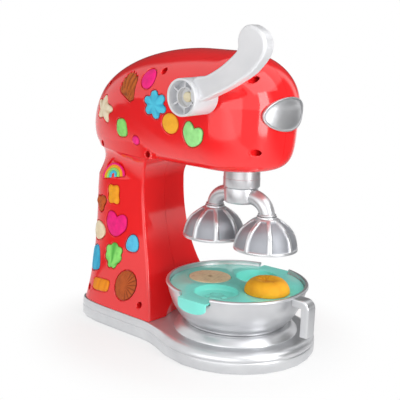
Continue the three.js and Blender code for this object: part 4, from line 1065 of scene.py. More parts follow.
def clay_skin_group():
    """Modelling clay: a soft colour, darkened by random mottle and by painted shade where the mesh asks for
    it, with crumbs, small cracks and broad dents.
    """
    tree, given = skin_group(
        "clay_skin",
        {
            "Colour": white,
            "Deep Colour": (0.5, 0.5, 0.5, 1),
            "Crumb Scale": 900.0,
            "Crumb Height": 0.0002,
            "Dent Scale": 150.0,
            "Dent Height": 0.0006,
            "Mottle": 0.35,
        },
    )
    place = add_node(tree, "ShaderNodeTexCoord").outputs["Object"]
    # The mesh's stored share of painted shade, in sunk lines and at the edge, darkens the clay like the
    # random mottle.
    groove_shade = add_node(tree, "ShaderNodeAttribute", attribute_name="groove_shade").outputs["Fac"]
    crumbs = noise_node(tree, place, given["Crumb Scale"], 4)
    dents = noise_node(tree, place, given["Dent Scale"], 2)
    patch = add_node(tree, "ShaderNodeMapRange", {"Value": dents, "From Min": 0.4, "From Max": 0.72})
    mottled = math_node(tree, "MULTIPLY", patch.outputs[0], given["Mottle"])
    darker = math_node(tree, "MAXIMUM", mottled, groove_shade)
    rough = add_node(tree, "ShaderNodeMapRange", {"Value": crumbs, "To Min": 0.55, "To Max": 0.85})
    broad = add_node(tree, "ShaderNodeBump", {"Height": dents, "Distance": given["Dent Height"]}).outputs[0]
    fine = {"Height": crumbs, "Distance": given["Crumb Height"], "Normal": broad}
    outputs = {
        "Colour": blend_colour(tree, darker, given["Colour"], given["Deep Colour"]),
        "Roughness": rough.outputs[0],
        "Normal": add_node(tree, "ShaderNodeBump", fine).outputs[0],
    }
    add_node(tree, "NodeGroupOutput", outputs)
    return tree


clay_skin = clay_skin_group()


def modelling_clay(
    name, colour, deep, crumb=900, crumb_height=0.0002, dent=150, dent_height=0.0006, mottle=0.35
):
    """The clay's dull finish in a colour."""
    values = (colour, deep, crumb, crumb_height, dent, dent_height, mottle)
    return skinned(name, clay_skin, values, {"Specular IOR Level": 0.35})[0]


for seed, (node, (relief, colour, deep, slot)) in enumerate(clay_looks.items()):
    outline, place, size, tilt, quarter_turns = clay_moulds[node]
    frame_of = pressed_frame(place, quarter_turns)
    clay = pressed_clay(f"{node}_pressed", sized(outline, size, tilt), frame_of, size, relief, seed)
    dough = modelling_clay(f"{node}_dough", paint(*colour), paint(*deep))
    dress(clay, dough, "housing", slot, node)

rainbow_bands = (
    # colour, and the outer and inner radius as shares of the arch's half width
    (paint(255, 34, 140), 1.0, 0.84),
    (paint(255, 182, 36), 0.84, 0.58),
    (paint(160, 238, 120), 0.58, 0.34),
    (paint(80, 204, 238), 0.34, 0.12),
)
rope_radius = 1.55
rope_wobble = 0.07
rope_fill = 0.99
rope_leg = 3
arch_share = 0.62


def rainbow_rope(outer, inner, size, tilt, frame_of, seed):
    """One bent rope of clay over the arch, flattened into the mould."""
    width, height = np.array(size) * clay_width
    half_width, top, foot = width / 2, height * arch_share, -height / 2
    centre, half = (outer + inner) / 2 * half_width, (outer - inner) / 2 * half_width
    turns = np.linspace(0, math.pi, 34)
    path = [(centre, s) for s in np.linspace(foot, foot + rope_leg, 4)[:-1]]
    bend = top * centre / half_width
    path += [(centre * math.cos(t), foot + rope_leg + bend * math.sin(t)) for t in turns]
    path += [(-centre, s) for s in np.linspace(foot + rope_leg, foot, 4)[1:]]
    path = np.array(path)
    along = normalised(np.gradient(path, axis=0))
    side = np.c_[along[:, 1], -along[:, 0]]
    angle = tilt * math.pi / 2
    roll = np.array([(math.cos(angle), math.sin(angle)), (-math.sin(angle), math.cos(angle))])
    across_round, up_round = circle(1, 14).T
    rings = []
    for at, way in zip(path, side):
        swell = 1 + rope_wobble * lump((*at, 0), 0.4, seed)
        across = at + np.outer(across_round * half * rope_fill, way)
        lift = -clay_low / 2 + rope_radius * swell * (up_round * 0.9 + 0.35)
        rings.append(laid(across @ roll, frame_of, np.maximum(lift, -clay_low))[::-1])
    return skin("rope", rings)


_, place, size, tilt, quarter_turns = clay_moulds["clay_rainbow"]
rainbow_frame = pressed_frame(place, quarter_turns)
for number, (colour, outer, inner) in enumerate(rainbow_bands):
    rope = rainbow_rope(outer, inner, size, tilt, rainbow_frame, number)
    rope.name = f"clay_rainbow_rope_{number + 1}"
    deep = tuple(c * 0.7 for c in colour[:3]) + (1,)
    set_groove_shade(rope, np.zeros(len(rope.data.vertices)))
    dough = modelling_clay(f"rainbow_dough_{number + 1}", colour, deep)
    dress(smooth(rope, 60), dough, "housing", "magenta_clay", "clay_rainbow")


# Screws. Steel pan-head screws with a cross recess: eight at the bottom of the wells in the left shell, which
# pull the shells together, and four from below that hold the plate, the base and the shells.
screw_head_radius = 2.7
screw_head_height = 2.4
screw_grip = 11
cross_width = 0.7
cross_depth = 1.1
head_taper = 0.82
cross_reach = 1.3


def geometry_tree(name, inputs):
    """A Geometry Nodes tree with named inputs: the tree, what it is given, and its sockets' identifiers."""
    tree = bpy.data.node_groups.new(name, "GeometryNodeTree")
    identifiers = {}
    for label, (kind, value) in {"Geometry": ("Geometry", None), **inputs}.items():
        socket = tree.interface.new_socket(name=label, in_out="INPUT", socket_type="NodeSocket" + kind)
        identifiers[label] = socket.identifier
        if value is not None:
            socket.default_value = value
    tree.interface.new_socket(name="Geometry", in_out="OUTPUT", socket_type="NodeSocketGeometry")
    return tree, add_node(tree, "NodeGroupInput").outputs, identifiers


def end_tree(tree, geometry, finish):
    """Ends a tree with its instances made real and its material set."""
    real = add_node(tree, "GeometryNodeRealizeInstances", {"Geometry": geometry}).outputs[0]
    finished = add_node(tree, "GeometryNodeSetMaterial", {"Geometry": real, "Material": finish})
    add_node(tree, "NodeGroupOutput", {"Geometry": finished.outputs[0]})


def vector(tree, x, y, z):
    return add_node(tree, "ShaderNodeCombineXYZ", {"X": x, "Y": y, "Z": z}).outputs[0]


def moved(tree, geometry, offset):
    inputs = {"Geometry": geometry, "Translation": offset}
    return add_node(tree, "GeometryNodeTransform", inputs).outputs[0]


def screw_tree():
    """A tree that sets a cross-headed screw on every point of its input."""
    tree, given, identifiers = geometry_tree(
        "cross_head_screws",
        {
            "Head Radius": ("Float", screw_head_radius * mm),
            "Head Height": ("Float", screw_head_height * mm),
            "Shank Radius": ("Float", screw_radius * mm),
            "Shank Length": ("Float", (screw_grip + well_floor - clearance) * mm),
            "Cross Width": ("Float", cross_width * mm),
            "Cross Depth": ("Float", cross_depth * mm),
            "Turn": ("Float", 0),
        },
    )
    radius, height, width = given["Head Radius"], given["Head Height"], given["Cross Width"]
    to_head = vector(tree, 0, 0, math_node(tree, "MULTIPLY", height, -1))
    cone = {
        "Vertices": 28,
        "Radius Top": radius,
        "Radius Bottom": math_node(tree, "MULTIPLY", radius, head_taper),
        "Depth": height,
    }
    head = moved(tree, add_node(tree, "GeometryNodeMeshCone", cone).outputs["Mesh"], to_head)
    length = math_node(tree, "MULTIPLY", radius, cross_reach)
    cross_height = math_node(tree, "MULTIPLY", given["Cross Depth"], 2)
    cutter = add_node(tree, "GeometryNodeMeshBoolean", {"Mesh 1": head}, operation="DIFFERENCE")
    for sides in ((length, width), (width, length)):
        arm = add_node(tree, "GeometryNodeMeshCube", {"Size": vector(tree, *sides, cross_height)})
        tree.links.new(moved(tree, arm.outputs["Mesh"], to_head), cutter.inputs["Mesh 2"])
    bar_inputs = {"Vertices": 20, "Radius": given["Shank Radius"], "Depth": given["Shank Length"]}
    shank = add_node(tree, "GeometryNodeMeshCylinder", bar_inputs).outputs["Mesh"]
    to_shank = vector(tree, 0, 0, math_node(tree, "MULTIPLY", given["Shank Length"], 0.5))
    screw = add_node(tree, "GeometryNodeJoinGeometry", {"Geometry": moved(tree, shank, to_shank)})
    tree.links.new(cutter.outputs["Mesh"], screw.inputs["Geometry"])
    places = {
        "Points": given["Geometry"],
        "Instance": screw.outputs[0],
        "Rotation": vector(tree, 0, given["Turn"], 0),
    }
    end_tree(tree, add_node(tree, "GeometryNodeInstanceOnPoints", places).outputs[0], steel)
    return tree, identifiers


steel = moulded(
    "screw_steel",
    paint(150, 152, 156),
    paint(96, 98, 102),
    roughness=0.28,
    spread=0.12,
    flow=300,
    peel=900,
    height=0.00002,
    Metallic=1.0,
)
screws_on_points, screw_inputs = screw_tree()


def grow_tree(obj, tree, identifiers, values):
    """Runs a tree with these values on a piece and turns the result into a plain mesh."""
    modifier = obj.modifiers.new(tree.name, "NODES")
    modifier.node_group = tree
    for label, value in values.items():
        modifier[identifiers[label]] = value
    bake(obj)
    return obj


def screws(name, places, nodes, values):
    """Screws at some places, as one piece of the housing."""
    made = grow_tree(new_piece(name, places, []), screws_on_points, screw_inputs, values)
    return dress(smooth(made, 30), steel, "housing", "steel", *nodes)


head_x = -well_floor - clearance
head_places = [(head_x, y, z) for y, z in screw_places.values()]
screws("housing_screws", head_places, list(screw_places), {"Turn": math.pi / 2})


# Base. A satin silver moulding, round at the front and waisted towards the rear, with a groove round its
# side, a rounded top edge and a low plinth for the bowl. A flat plate closes it from below.
plate_thickness = 2
base_radius = 79.5
base_waist = 60.5
base_waist_y = 74
base_flare_y = 28
base_flare_pull = 0.38
base_rear_y = 180.5
base_top = 20
base_wall = 2.4
groove_height = 11
groove_width = 1.2
groove_depth = 0.8
shoulder_run = 9.2
shoulder_rear = 0.14
plinth_radius = 62
plinth_top_radius = 54
plinth_top = 27
plinth_slope = (
    # shares of the way in and of the way up
    *((0, 0), (0.02, 0.06), (0.1, 0.2), (0.25, 0.37), (0.45, 0.6)),
    *((0.62, 0.78), (0.8, 0.93), (0.92, 0.985), (1, 1)),
)
base_groove = (
    # shares of the groove's width below its middle, and of its depth
    *((1, 0), (0.55, 0.25), (0.3, 0.85), (0, 1)),
    *((-0.3, 0.85), (-0.55, 0.45), (-1, 0.25)),
)
disc_points = 56
flare_points = 26
rear_points = 40
base_screw_seat = 0.85
base_screw_head = 0.7
base_cross_depth = 0.4


def bezier(points, count):
    """A curve from the first of four points to the last, drawn towards the two between."""
    share = np.linspace(0, 1, count)[:, None]
    a, b, c, d = (np.array(p, float) for p in points)
    keep = 1 - share
    return keep**3 * a + 3 * keep**2 * share * b + 3 * keep * share**2 * c + share**3 * d


def base_outline():
    """The base seen from above: a disc in front, drawn in to a waist with a squared end behind."""
    flare_x = math.sqrt(base_radius**2 - base_flare_y**2)
    flare_turn = math.atan2(base_flare_y, flare_x)
    turns = np.linspace(-math.pi / 2, flare_turn, disc_points)
    disc = np.c_[np.cos(turns), np.sin(turns)] * base_radius
    disc[0, 0] = 0
    pull = (base_waist_y - base_flare_y) * base_flare_pull
    ahead = (flare_x - pull * math.sin(flare_turn), base_flare_y + pull * math.cos(flare_turn))
    waist = (base_waist, base_waist_y)
    behind = (base_waist, base_waist_y - pull)
    flare = bezier(((flare_x, base_flare_y), ahead, behind, waist), flare_points)
    turns = rounded_quarter(foot_power, rear_points)[1:]
    rear = np.c_[
        base_waist * np.cos(turns) ** (2 / foot_power),
        mix(base_waist_y, base_rear_y, np.sin(turns) ** (2 / foot_power)),
    ]
    rear[-1, 0] = 0
    return mirrored(np.vstack([disc, flare[1:], rear]))


def around_axis(outline, radius):
    """A circle with a point towards each point of the outline."""
    turns = np.arctan2(outline[:, 1], outline[:, 0])
    return np.c_[np.cos(turns), np.sin(turns)] * radius


def shoulder_share(y):
    """How much of the rounded top edge is left at a place along the base."""
    along = np.clip((y - base_flare_y / 2) / (base_waist_y - base_flare_y), 0, 1)
    return mix(1, shoulder_rear, soft(along))


def finish_packed(node, material):
    """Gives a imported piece, which stays as it is, its material."""
    kept = frame["nodes"][node].data
    kept.materials.clear()
    kept.materials.append(material)


def base_moulding():
    """Rings from the room under the plinth down, round the foot, and up the side to the plinth's top."""
    outline = base_outline()
    bottom = plate_thickness + clearance
    share = shoulder_share(outline[:, 1])
    inside = grown(outline, -(base_wall + shoulder_run * share / 2)[:, None])
    room = plinth_top_radius - base_wall
    roof = plinth_top - base_wall
    ceiling = base_top - base_wall
    rings = [
        (around_axis(outline, 1), roof),
        (around_axis(outline, room), roof),
        (around_axis(outline, room), ceiling),
        (inside, ceiling),
        (inside, bottom),
        (grown(outline, -0.8), bottom),
        (grown(outline, -0.25), bottom + 0.2),
        (outline, bottom + 0.8),
    ]
    middle = groove_height + groove_width / 2
    for drop, sunk in base_groove:
        rings.append((grown(outline, -groove_depth * sunk), middle - groove_width * drop))
    low = middle + groove_width
    for turn in np.linspace(0, math.pi / 2, 12)[1:]:
        run = groove_depth / 4 + shoulder_run * share * (1 - math.cos(turn))
        rings.append((grown(outline, -run[:, None]), mix(low, base_top, math.sin(turn))))
    rings.append((grown(outline, -(groove_depth / 4 + shoulder_run * share + 1)[:, None]), base_top))
    rings.append((around_axis(outline, plinth_radius + 0.6), base_top))
    for along, rise in plinth_slope:
        radius = mix(plinth_radius, plinth_top_radius, along)
        rings.append((around_axis(outline, radius), mix(base_top, plinth_top, rise)))
    rings.append((around_axis(outline, 1), plinth_top))
    return skin("base_moulding", [at_level(ring, z) for ring, z in rings])


silver = moulded(
    "satin_silver",
    paint(216, 217, 219),
    paint(204, 205, 208),
    roughness=0.29,
    spread=0.06,
    flow=30,
    peel=1400,
    height=0.00002,
    Metallic=0.75,
)
dress(smooth(base_moulding(), 40), silver, "housing", "silver_plastic", "base_shell")
finish_packed("base_plate", silver)
for name, places, length, nodes in (
    ("base_screws_short", [(-32, -30), (32, -30)], 12, ("base_screw_1", "base_screw_2")),
    ("base_screws_long", post_places, 32, ("base_screw_3", "base_screw_4")),
):
    values = {
        "Head Height": base_screw_head * mm,
        "Cross Depth": base_cross_depth * mm,
        "Shank Length": (length - 2 * base_screw_seat) * mm,
    }
    screws(name, [(*place, base_screw_seat) for place in places], nodes, values)


# Nose plate. A plain oval silver plate, bent to the nose, with a rounded rim round a softly domed field.
nose_plate_width = 58
nose_plate_height = 31
nose_plate_thickness = 2.2
nose_plate_rim = 1.2
nose_plate_dome = 0.8
nose_plate_z = 238


def nose_plate():
    """Rings from under the plate, over its rim and in over the dome."""
    place, _ = shell_at((0, -head_half_width, nose_plate_z), (0, -1, 0))
    frame_of = (place, np.array((0, -1.0, 0)), np.array((1.0, 0, 0)))
    outline = squared(2) * (nose_plate_width, nose_plate_height)
    low, field = clearance, clearance + nose_plate_thickness
    rim = field + nose_plate_rim
    rings = [(outline * share, low) for share in (0.05, 0.4, 0.7, 0.9, 1)]
    for inwards, height in (
        (0, field),
        (0.1, rim - 0.35),
        (0.4, rim),
        (nose_plate_rim - 0.2, rim),
        (nose_plate_rim + 0.25, rim - 0.5),
        (nose_plate_rim + 0.6, field),
        (nose_plate_rim + 1.1, field - 0.15),
    ):
        rings.append((grown(outline, -inwards), height))
    inner = grown(outline, -nose_plate_rim - 1.1)
    for share in (0.85, 0.75, 0.6, 0.45, 0.3, 0.15, 0.04):
        rings.append((inner * share, field - 0.15 + nose_plate_dome * (1 - share**2)))
    return skin("nose_plate_moulding", [laid(ring, frame_of, height) for ring, height in rings])


dress(smooth(nose_plate(), 50), silver, "housing", "silver_plastic", "nose_plate")


# Crank. One pale grey moulding on the toy's left: a hub with a cup, an inner ring and ribs at its open end,
# and a flat arm, rounded in front and hollow behind. A cream cap covers the screw in the middle.
crank_end = 91
crank_hub_radius = 17
crank_hub_wall = 2
crank_cup_depth = 11
crank_ring_radius = 9.4
crank_ring_wall = 1
crank_ring_depth = 6
shaft_hole = 4.3
crank_ribs = 6
crank_rib_thickness = 1.4
arm_outer = 86
arm_thickness = 12
arm_reach = 86
arm_rise = 65.85
arm_shell = 2.4
arm_edge = 2.6
arm_points = (
    # shares of the arm's reach and rise
    *((0.1, -0.06), (0.46, 0.12), (0.77, 0.35), (0.9, 0.5), (0.98, 0.64), (1, 0.77), (0.965, 0.89)),
    *((0.87, 0.975), (0.77, 1), (0.69, 0.93), (0.655, 0.82), (0.66, 0.71), (0.62, 0.63), (0.46, 0.46)),
    *((0.27, 0.32), (0.1, 0.25)),
)


def through(points, steps, closed=True):
    """A smooth line through points."""
    points = np.asarray(points, float)
    count = len(points)
    line = []
    for i in range(count if closed else count - 1):
        near = np.arange(i - 1, i + 3)
        a, b, c, d = points[near % count if closed else np.clip(near, 0, count - 1)]
        for t in np.arange(steps) / steps:
            bend, twist = 2 * a - 5 * b + 4 * c - d, 3 * b - a - 3 * c + d
            line.append(0.5 * (2 * b + (c - a) * t + bend * t**2 + twist * t**3))
    if not closed:
        line.append(points[-1])
    return np.array(line)


def along_x(outline, x):
    """Points seen from the left, across and up from the crank's axis, at a place along X."""
    return np.c_[np.full(len(outline), x), -outline[:, 0], outline[:, 1] + crank_height]


def crank_arm():
    """The arm: a shell with a rounded front edge, open behind."""
    outline = through(np.array(arm_points) * (arm_reach, arm_rise), 10)
    inner = grown(outline, -arm_shell)
    behind = arm_outer - arm_thickness
    rings = [(inner, arm_outer - arm_shell), (inner, behind)]
    rings += [(grown(outline, -0.5), behind), (outline, behind + 0.5)]
    for turn in np.linspace(0, math.pi / 2, 9):
        inwards, back = arm_edge * (1 - math.cos(turn)), arm_edge * (1 - math.sin(turn))
        rings.append((grown(outline, -inwards), arm_outer - back))
    rings.append((grown(outline, -arm_edge - 0.4), arm_outer + 0.01))
    return skin("crank_moulding", [along_x(ring, -out) for ring, out in rings])


def turned(name, profile, sides=96, place=(0, 0), axis="Z"):
    """A piece of revolution from (radius, height) points; one that ends off the axis becomes a ring."""
    ends = profile[0][0] == 0 and profile[-1][0] == 0
    if ends:
        profile = [(0.4, profile[0][1]), *profile[1:-1], (0.4, profile[-1][1])]
    rings = []
    for radius, z in profile:
        ring = circle(radius, sides)
        rings.append(at_level(ring + place, z) if axis == "Z" else along_x(ring, z))
    return skin(name, rings, closed=not ends)


def crank_hub():
    floor = crank_end - crank_cup_depth
    ring_top = floor + crank_ring_depth
    inner = crank_hub_radius - crank_hub_wall
    ring_inner = crank_ring_radius - crank_ring_wall
    profile = [
        (shaft_hole, crank_hub_inner),
        (crank_hub_radius - 0.6, crank_hub_inner),
        (crank_hub_radius, crank_hub_inner + 0.6),
        (crank_hub_radius, crank_end - 0.7),
        (crank_hub_radius - 0.2, crank_end - 0.2),
        (crank_hub_radius - 0.7, crank_end),
        (inner + 0.5, crank_end),
        (inner + 0.1, crank_end - 0.3),
        (inner - 0.1, crank_end - 1),
        (inner - 0.4, floor + 0.8),
        (inner - 1.2, floor),
        (crank_ring_radius + 0.8, floor),
        (crank_ring_radius + 0.1, floor + 0.7),
        (crank_ring_radius, ring_top - 0.3),
        (crank_ring_radius - 0.3, ring_top),
        (ring_inner + 0.3, ring_top),
        (ring_inner, ring_top - 0.3),
        (ring_inner, floor),
        (shaft_hole, floor),
    ]
    return turned("crank_hub", [(r, -x) for r, x in profile], 96, axis="X")


def spoke_tree():
    """A tree that sets ribs round the X axis, each a block at its place, and joins them to its input."""
    tree, given, identifiers = geometry_tree(
        "hub_ribs",
        {
            "Ribs": ("Int", crank_ribs),
            "Rib Size": ("Vector", None),
            "Rib Place": ("Vector", None),
            "Origin": ("Vector", None),
            "Finish": ("Material", None),
        },
    )
    rib = add_node(tree, "GeometryNodeMeshCube", {"Size": given["Rib Size"]}).outputs["Mesh"]
    points = {"Count": given["Ribs"], "Position": given["Origin"]}
    index = add_node(tree, "GeometryNodeInputIndex").outputs[0]
    step = math_node(tree, "DIVIDE", 2 * math.pi, given["Ribs"])
    spread = {
        "Points": add_node(tree, "GeometryNodePoints", points).outputs[0],
        "Instance": moved(tree, rib, given["Rib Place"]),
        "Rotation": vector(tree, math_node(tree, "MULTIPLY", index, step), 0, 0),
    }
    ribs = add_node(tree, "GeometryNodeInstanceOnPoints", spread).outputs[0]
    joined = add_node(tree, "GeometryNodeJoinGeometry", {"Geometry": ribs})
    tree.links.new(given["Geometry"], joined.inputs["Geometry"])
    end_tree(tree, joined.outputs[0], given["Finish"])
    return tree, identifiers


pale_silver = moulded(
    "pale_silver_crank",
    paint(234, 234, 236),
    paint(222, 223, 226),
    roughness=0.32,
    spread=0.05,
    flow=25,
    peel=400,
    height=0.000004,
    Metallic=0.25,
)
cream_cap = moulded(
    "cream_cap",
    paint(238, 228, 196),
    paint(224, 208, 168),
    roughness=0.45,
    spread=0.1,
    flow=60,
    peel=800,
    height=0.00003,
)
cup_radius = crank_hub_radius - crank_hub_wall - 0.2
cup_space = bar("cup_space", cup_radius, -crank_end - 1, -crank_end + 4, "X", crank_axis, 96)
crank = combine(combine(crank_arm(), join, crank_hub()), cut, cup_space)
rib_length = crank_hub_radius - crank_hub_wall / 2 - crank_ring_radius + crank_ring_wall / 2
rib_middle = crank_end - crank_cup_depth + crank_ring_depth / 2
rib_values = {
    "Rib Size": (crank_ring_depth * mm, crank_rib_thickness * mm, rib_length * mm),
    "Rib Place": (-rib_middle * mm, 0, (crank_ring_radius + rib_length / 2 - 0.4) * mm),
    "Origin": (0, 0, crank_height * mm),
    "Finish": pale_silver,
}
grow_tree(crank, *spoke_tree(), rib_values)
dress(smooth(crank, 35), pale_silver, "crank", "pale_plastic", "crank_handle")
cap_low = crank_end - crank_cup_depth + clearance
cap_profile = ((0, 0), (4.6, 0), (4.6, 2), (4.3, 2.6), (3.6, 3), (2.2, 3.1), (1.5, 2.7), (0, 2.6))
cap = turned("crank_cap_moulding", [(r, -x - cap_low) for r, x in cap_profile], 48, axis="X")
dress(smooth(cap, 50), cream_cap, "crank", "cream_plastic", "crank_screw_cap")


# Drive. White nylon bushes and gears turn the crank's motion through a right angle, and steel shafts carry
# them. They are seen only through the bores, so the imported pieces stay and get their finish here.
nylon = moulded(
    "white_nylon",
    paint(232, 231, 224),
    paint(214, 212, 200),
    roughness=0.42,
    spread=0.1,
    flow=60,
    peel=700,
    height=0.00003,
)
steel_bar = moulded(
    "drawn_steel",
    paint(168, 170, 174),
    paint(128, 130, 136),
    roughness=0.25,
    spread=0.1,
    flow=200,
    peel=1200,
    height=0.00001,
    Metallic=1.0,
)
for node in ("spindle_bush", "crank_bush", "crank_end_bush", "crown_gear", "pinion_gear"):
    finish_packed(node, nylon)
for node in ("crank_shaft", "spindle_shaft"):
    finish_packed(node, steel_bar)
collar_radius = 18.1
collar_bottom = 162.4
collar_waist = collar_radius - 0.25
collar = [
    (shaft_hole, collar_bottom + 0.3),
    (collar_radius - 1.1, collar_bottom + 0.3),
    (collar_radius - 0.4, collar_bottom + 0.6),
    (collar_radius, collar_bottom + 1.3),
    (collar_radius, collar_bottom + 9),
    (collar_waist, collar_bottom + 9.3),
    (collar_waist, head_floor - 1.3),
    (collar_waist - 0.25, head_floor - 1),
    (shaft_hole, head_floor - 1),
]
collar_piece = smooth(turned("spindle_collar_moulding", collar))
dress(collar_piece, silver, "spindle", "silver_plastic", "spindle_collar")


# Beaters. One silver carrier under the collar with two bent stems, and on each stem a bell whose eight ribs
# stand over thin sunk panels, as moulded beaters have; the panels are painted darker grey as shade.
hub_radius = 16.6
hub_bottom = 147
stem_radius = 7.7
stem_overlap = 4
stem_steps = 30
bell_radius = 31
bell_rim = 106.6
bell_neck = 137
bell_neck_radius = 9.8
bell_wall = 1.8
bell_ribs = 8
bell_rim_height = 2.2
bell_sides = 192
rib_height = 1.5
rib_half_width = 1.5
rib_flank = 1.3
panel_sink = 1.35
bell_circle = 32.6
bell_form = ((1, 0), (1, 0.06), (0.98, 0.2), (0.91, 0.45), (0.76, 0.69), (0.52, 0.89), (0.33, 1))


def beater_stem(way):
    """A bent round stem from the carrier out and down, with a cuff where it enters its bell."""
    low = bell_neck + bell_wall + clearance
    high = collar_bottom - stem_radius - clearance
    turns = np.linspace(0, math.pi / 2, stem_steps)
    y = mix(hub_radius - stem_overlap, bell_circle, np.sin(turns))
    z = mix(low, high, np.cos(turns))
    across, up = circle(1, 40).T
    rings = []
    for i in range(stem_steps):
        before, after = max(i - 1, 0), min(i + 1, stem_steps - 1)
        run, climb = y[after] - y[before], z[after] - z[before]
        normal = np.array((0, -climb * way, run)) / math.hypot(run, climb)
        ring = np.outer(across, (stem_radius, 0, 0)) + np.outer(up, normal * stem_radius)
        rings.append(np.array((0, way * y[i], z[i])) + ring)
    cuff = [(0, 0), (8.7, 0), (9, 0.3), (9, 1.2), (8.7, 1.6), (7.9, 1.8), (7.2, 2.4), (0, 2.4)]
    cuff = turned("cuff", [(radius, low + rise) for radius, rise in cuff], 64, (0, way * bell_circle))
    stem = combine(skin("stem", rings), join, cuff)
    return combine(stem, cut, block("flat", (-20, -60, low - 12), (20, 60, low)))


def beater_carrier():
    low, high = hub_bottom, collar_bottom
    profile = [
        (0, low),
        (hub_radius - 3, low),
        (hub_radius - 1.2, low + 0.4),
        (hub_radius - 0.4, low + 1.2),
        (hub_radius, low + 2.4),
        (hub_radius, high - 0.8),
        (hub_radius - 0.3, high - 0.2),
        (hub_radius - 0.8, high),
        (0, high),
    ]
    carrier = combine(turned("carrier_moulding", profile), join, beater_stem(-1), beater_stem(1))
    return combine(carrier, cut, bar("socket", shaft_hole, low + 2.3, high + 1))


def bell_tree():
    """A tree that sinks the panels of a plain bell between its ribs, where its points are marked as outer."""
    names = ("Rib Half Width", "Rib Flank", "Sink", "Rim Height", "Neck Height")
    kinds = {"Ribs": ("Int", None), **{name: ("Float", None) for name in names}, "Finish": ("Material", None)}
    tree, given, identifiers = geometry_tree("ribbed_bell", kinds)

    def maths(operation, *values):
        return math_node(tree, operation, *values)

    def soft_step(value, low):
        """0 below low, and 1 from a flank's width above it."""
        limits = {"Value": value, "From Min": low, "From Max": maths("ADD", low, given["Rib Flank"])}
        return add_node(tree, "ShaderNodeMapRange", limits, interpolation_type="SMOOTHSTEP").outputs[0]

    place = add_node(tree, "GeometryNodeInputPosition").outputs[0]
    x, y, z = add_node(tree, "ShaderNodeSeparateXYZ", {0: place}).outputs
    share = maths("MULTIPLY", maths("DIVIDE", maths("ARCTAN2", y, x), 2 * math.pi), given["Ribs"])
    offset = maths("ABSOLUTE", maths("SUBTRACT", share, maths("ROUND", share)))
    reach = add_node(tree, "ShaderNodeVectorMath", {0: vector(tree, x, y, 0)}, operation="LENGTH")
    period = maths("DIVIDE", maths("MULTIPLY", reach.outputs["Value"], 2 * math.pi), given["Ribs"])
    panel = soft_step(maths("MULTIPLY", offset, period), given["Rib Half Width"])
    over_rim = soft_step(z, given["Rim Height"])
    under_neck = soft_step(maths("MULTIPLY", z, -1), maths("MULTIPLY", given["Neck Height"], -1))
    outer = add_node(tree, "GeometryNodeInputNamedAttribute", {"Name": "outer"}, data_type="FLOAT")
    sides = maths("MULTIPLY", panel, over_rim)
    mask = maths("MULTIPLY", sides, maths("MULTIPLY", under_neck, outer.outputs["Attribute"]))
    depth = maths("MULTIPLY", maths("MULTIPLY", mask, given["Sink"]), -1)
    normal = add_node(tree, "GeometryNodeInputNormal").outputs[0]
    shift = add_node(tree, "ShaderNodeVectorMath", {0: normal, "Scale": depth}, operation="SCALE").outputs[0]
    sunk = add_node(tree, "GeometryNodeSetPosition", {"Geometry": given["Geometry"], "Offset": shift})
    # The panel mask goes to the material, which paints shade and more roughness into the sunk panels.
    stored = {"Geometry": sunk.outputs[0], "Name": "panel", "Value": mask}
    marked = add_node(tree, "GeometryNodeStoreNamedAttribute", stored, data_type="FLOAT")
    end_tree(tree, marked.outputs[0], given["Finish"])
    return tree, identifiers


ribbed_bell = bell_tree()
bell_silver = moulded(
    "bell_silver",
    paint(220, 221, 223),
    paint(208, 209, 212),
    roughness=0.26,
    spread=0.06,
    flow=30,
    peel=1400,
    height=0.00002,
    # The sunk panels get this darker grey as painted shade.
    panel=paint(158, 160, 166),
    Metallic=0.75,
)


def moved_to(obj, x, y, z=0):
    """Moves a piece's mesh by millimetres."""
    obj.data.transform(Matrix.Translation(Vector((x, y, z)) * mm))
    return obj


def bell(name, way):
    """A bell under its stem: a plain shell of revolution, into which the tree sinks the panels."""
    height = bell_neck - bell_rim
    top = height + bell_wall
    line = through(bell_form, 8, closed=False)
    outer = line * (bell_radius, height)
    inner = line * (bell_radius - rib_height, height - 2 * bell_wall) - (bell_wall, 0)
    inner = inner[:-3][::-1]
    mouth = inner[-1, 0]
    inside = [(1, inner[0, 1]), *inner, (mouth, 0.4), (mouth + 0.3, 0)]
    inside += [(bell_radius - 0.5, 0), (bell_radius - 0.1, 0.3)]
    neck = [(bell_neck_radius, height + 0.1), (bell_neck_radius, top - 0.3)]
    neck += [(bell_neck_radius - 0.3, top), (1, top)]
    profile = [*inside, *outer[1:], *neck]
    made = skin(name, [at_level(circle(radius, bell_sides), z) for radius, z in profile])
    marks = [0] * len(inside) + [1] * (len(outer) - 1) + [0] * len(neck)
    mark = made.data.attributes.new("outer", "FLOAT", "POINT")
    mark.data.foreach_set("value", np.repeat(marks, bell_sides).astype(np.float32))
    values = {
        "Ribs": bell_ribs,
        "Rib Half Width": rib_half_width * mm,
        "Rib Flank": rib_flank * mm,
        "Sink": panel_sink * mm,
        "Rim Height": bell_rim_height * mm,
        "Neck Height": (height - 0.6) * mm,
        "Finish": bell_silver,
    }
    grow_tree(made, *ribbed_bell, values)
    return smooth(moved_to(made, 0, way * bell_circle, bell_rim), 45)


dress(smooth(beater_carrier()), silver, "spindle", "silver_plastic", "beater_carrier")
dress(bell("front_bell", -1), bell_silver, "spindle", "silver_plastic", "beater_bell_front")
dress(bell("rear_bell", 1), bell_silver, "spindle", "silver_plastic", "beater_bell_rear")


# Bowl. A thin silver bowl with a turned foot and a beaded rim, which two notches open for the tray's tabs,
# and a strap handle, a channel that is open towards the bowl. It stands turned a little on its plinth.
bowl_turn = math.radians(3)
rim_radius = 70.7
rim_top = 67.4
rim_bead = 2.8
rim_lip = 1.2
bowl_wall = 2.2
bowl_foot_radius = 50.7
bowl_foot_height = 3.6
bowl_belly = (64.5, 40)
notch_width = 36
notch_depth = 6.4
handle_reach = 17
handle_drop = 37
handle_width = 14
handle_depth = 8
handle_wall = 2
handle_bend = 9
handle_soft = 1.8


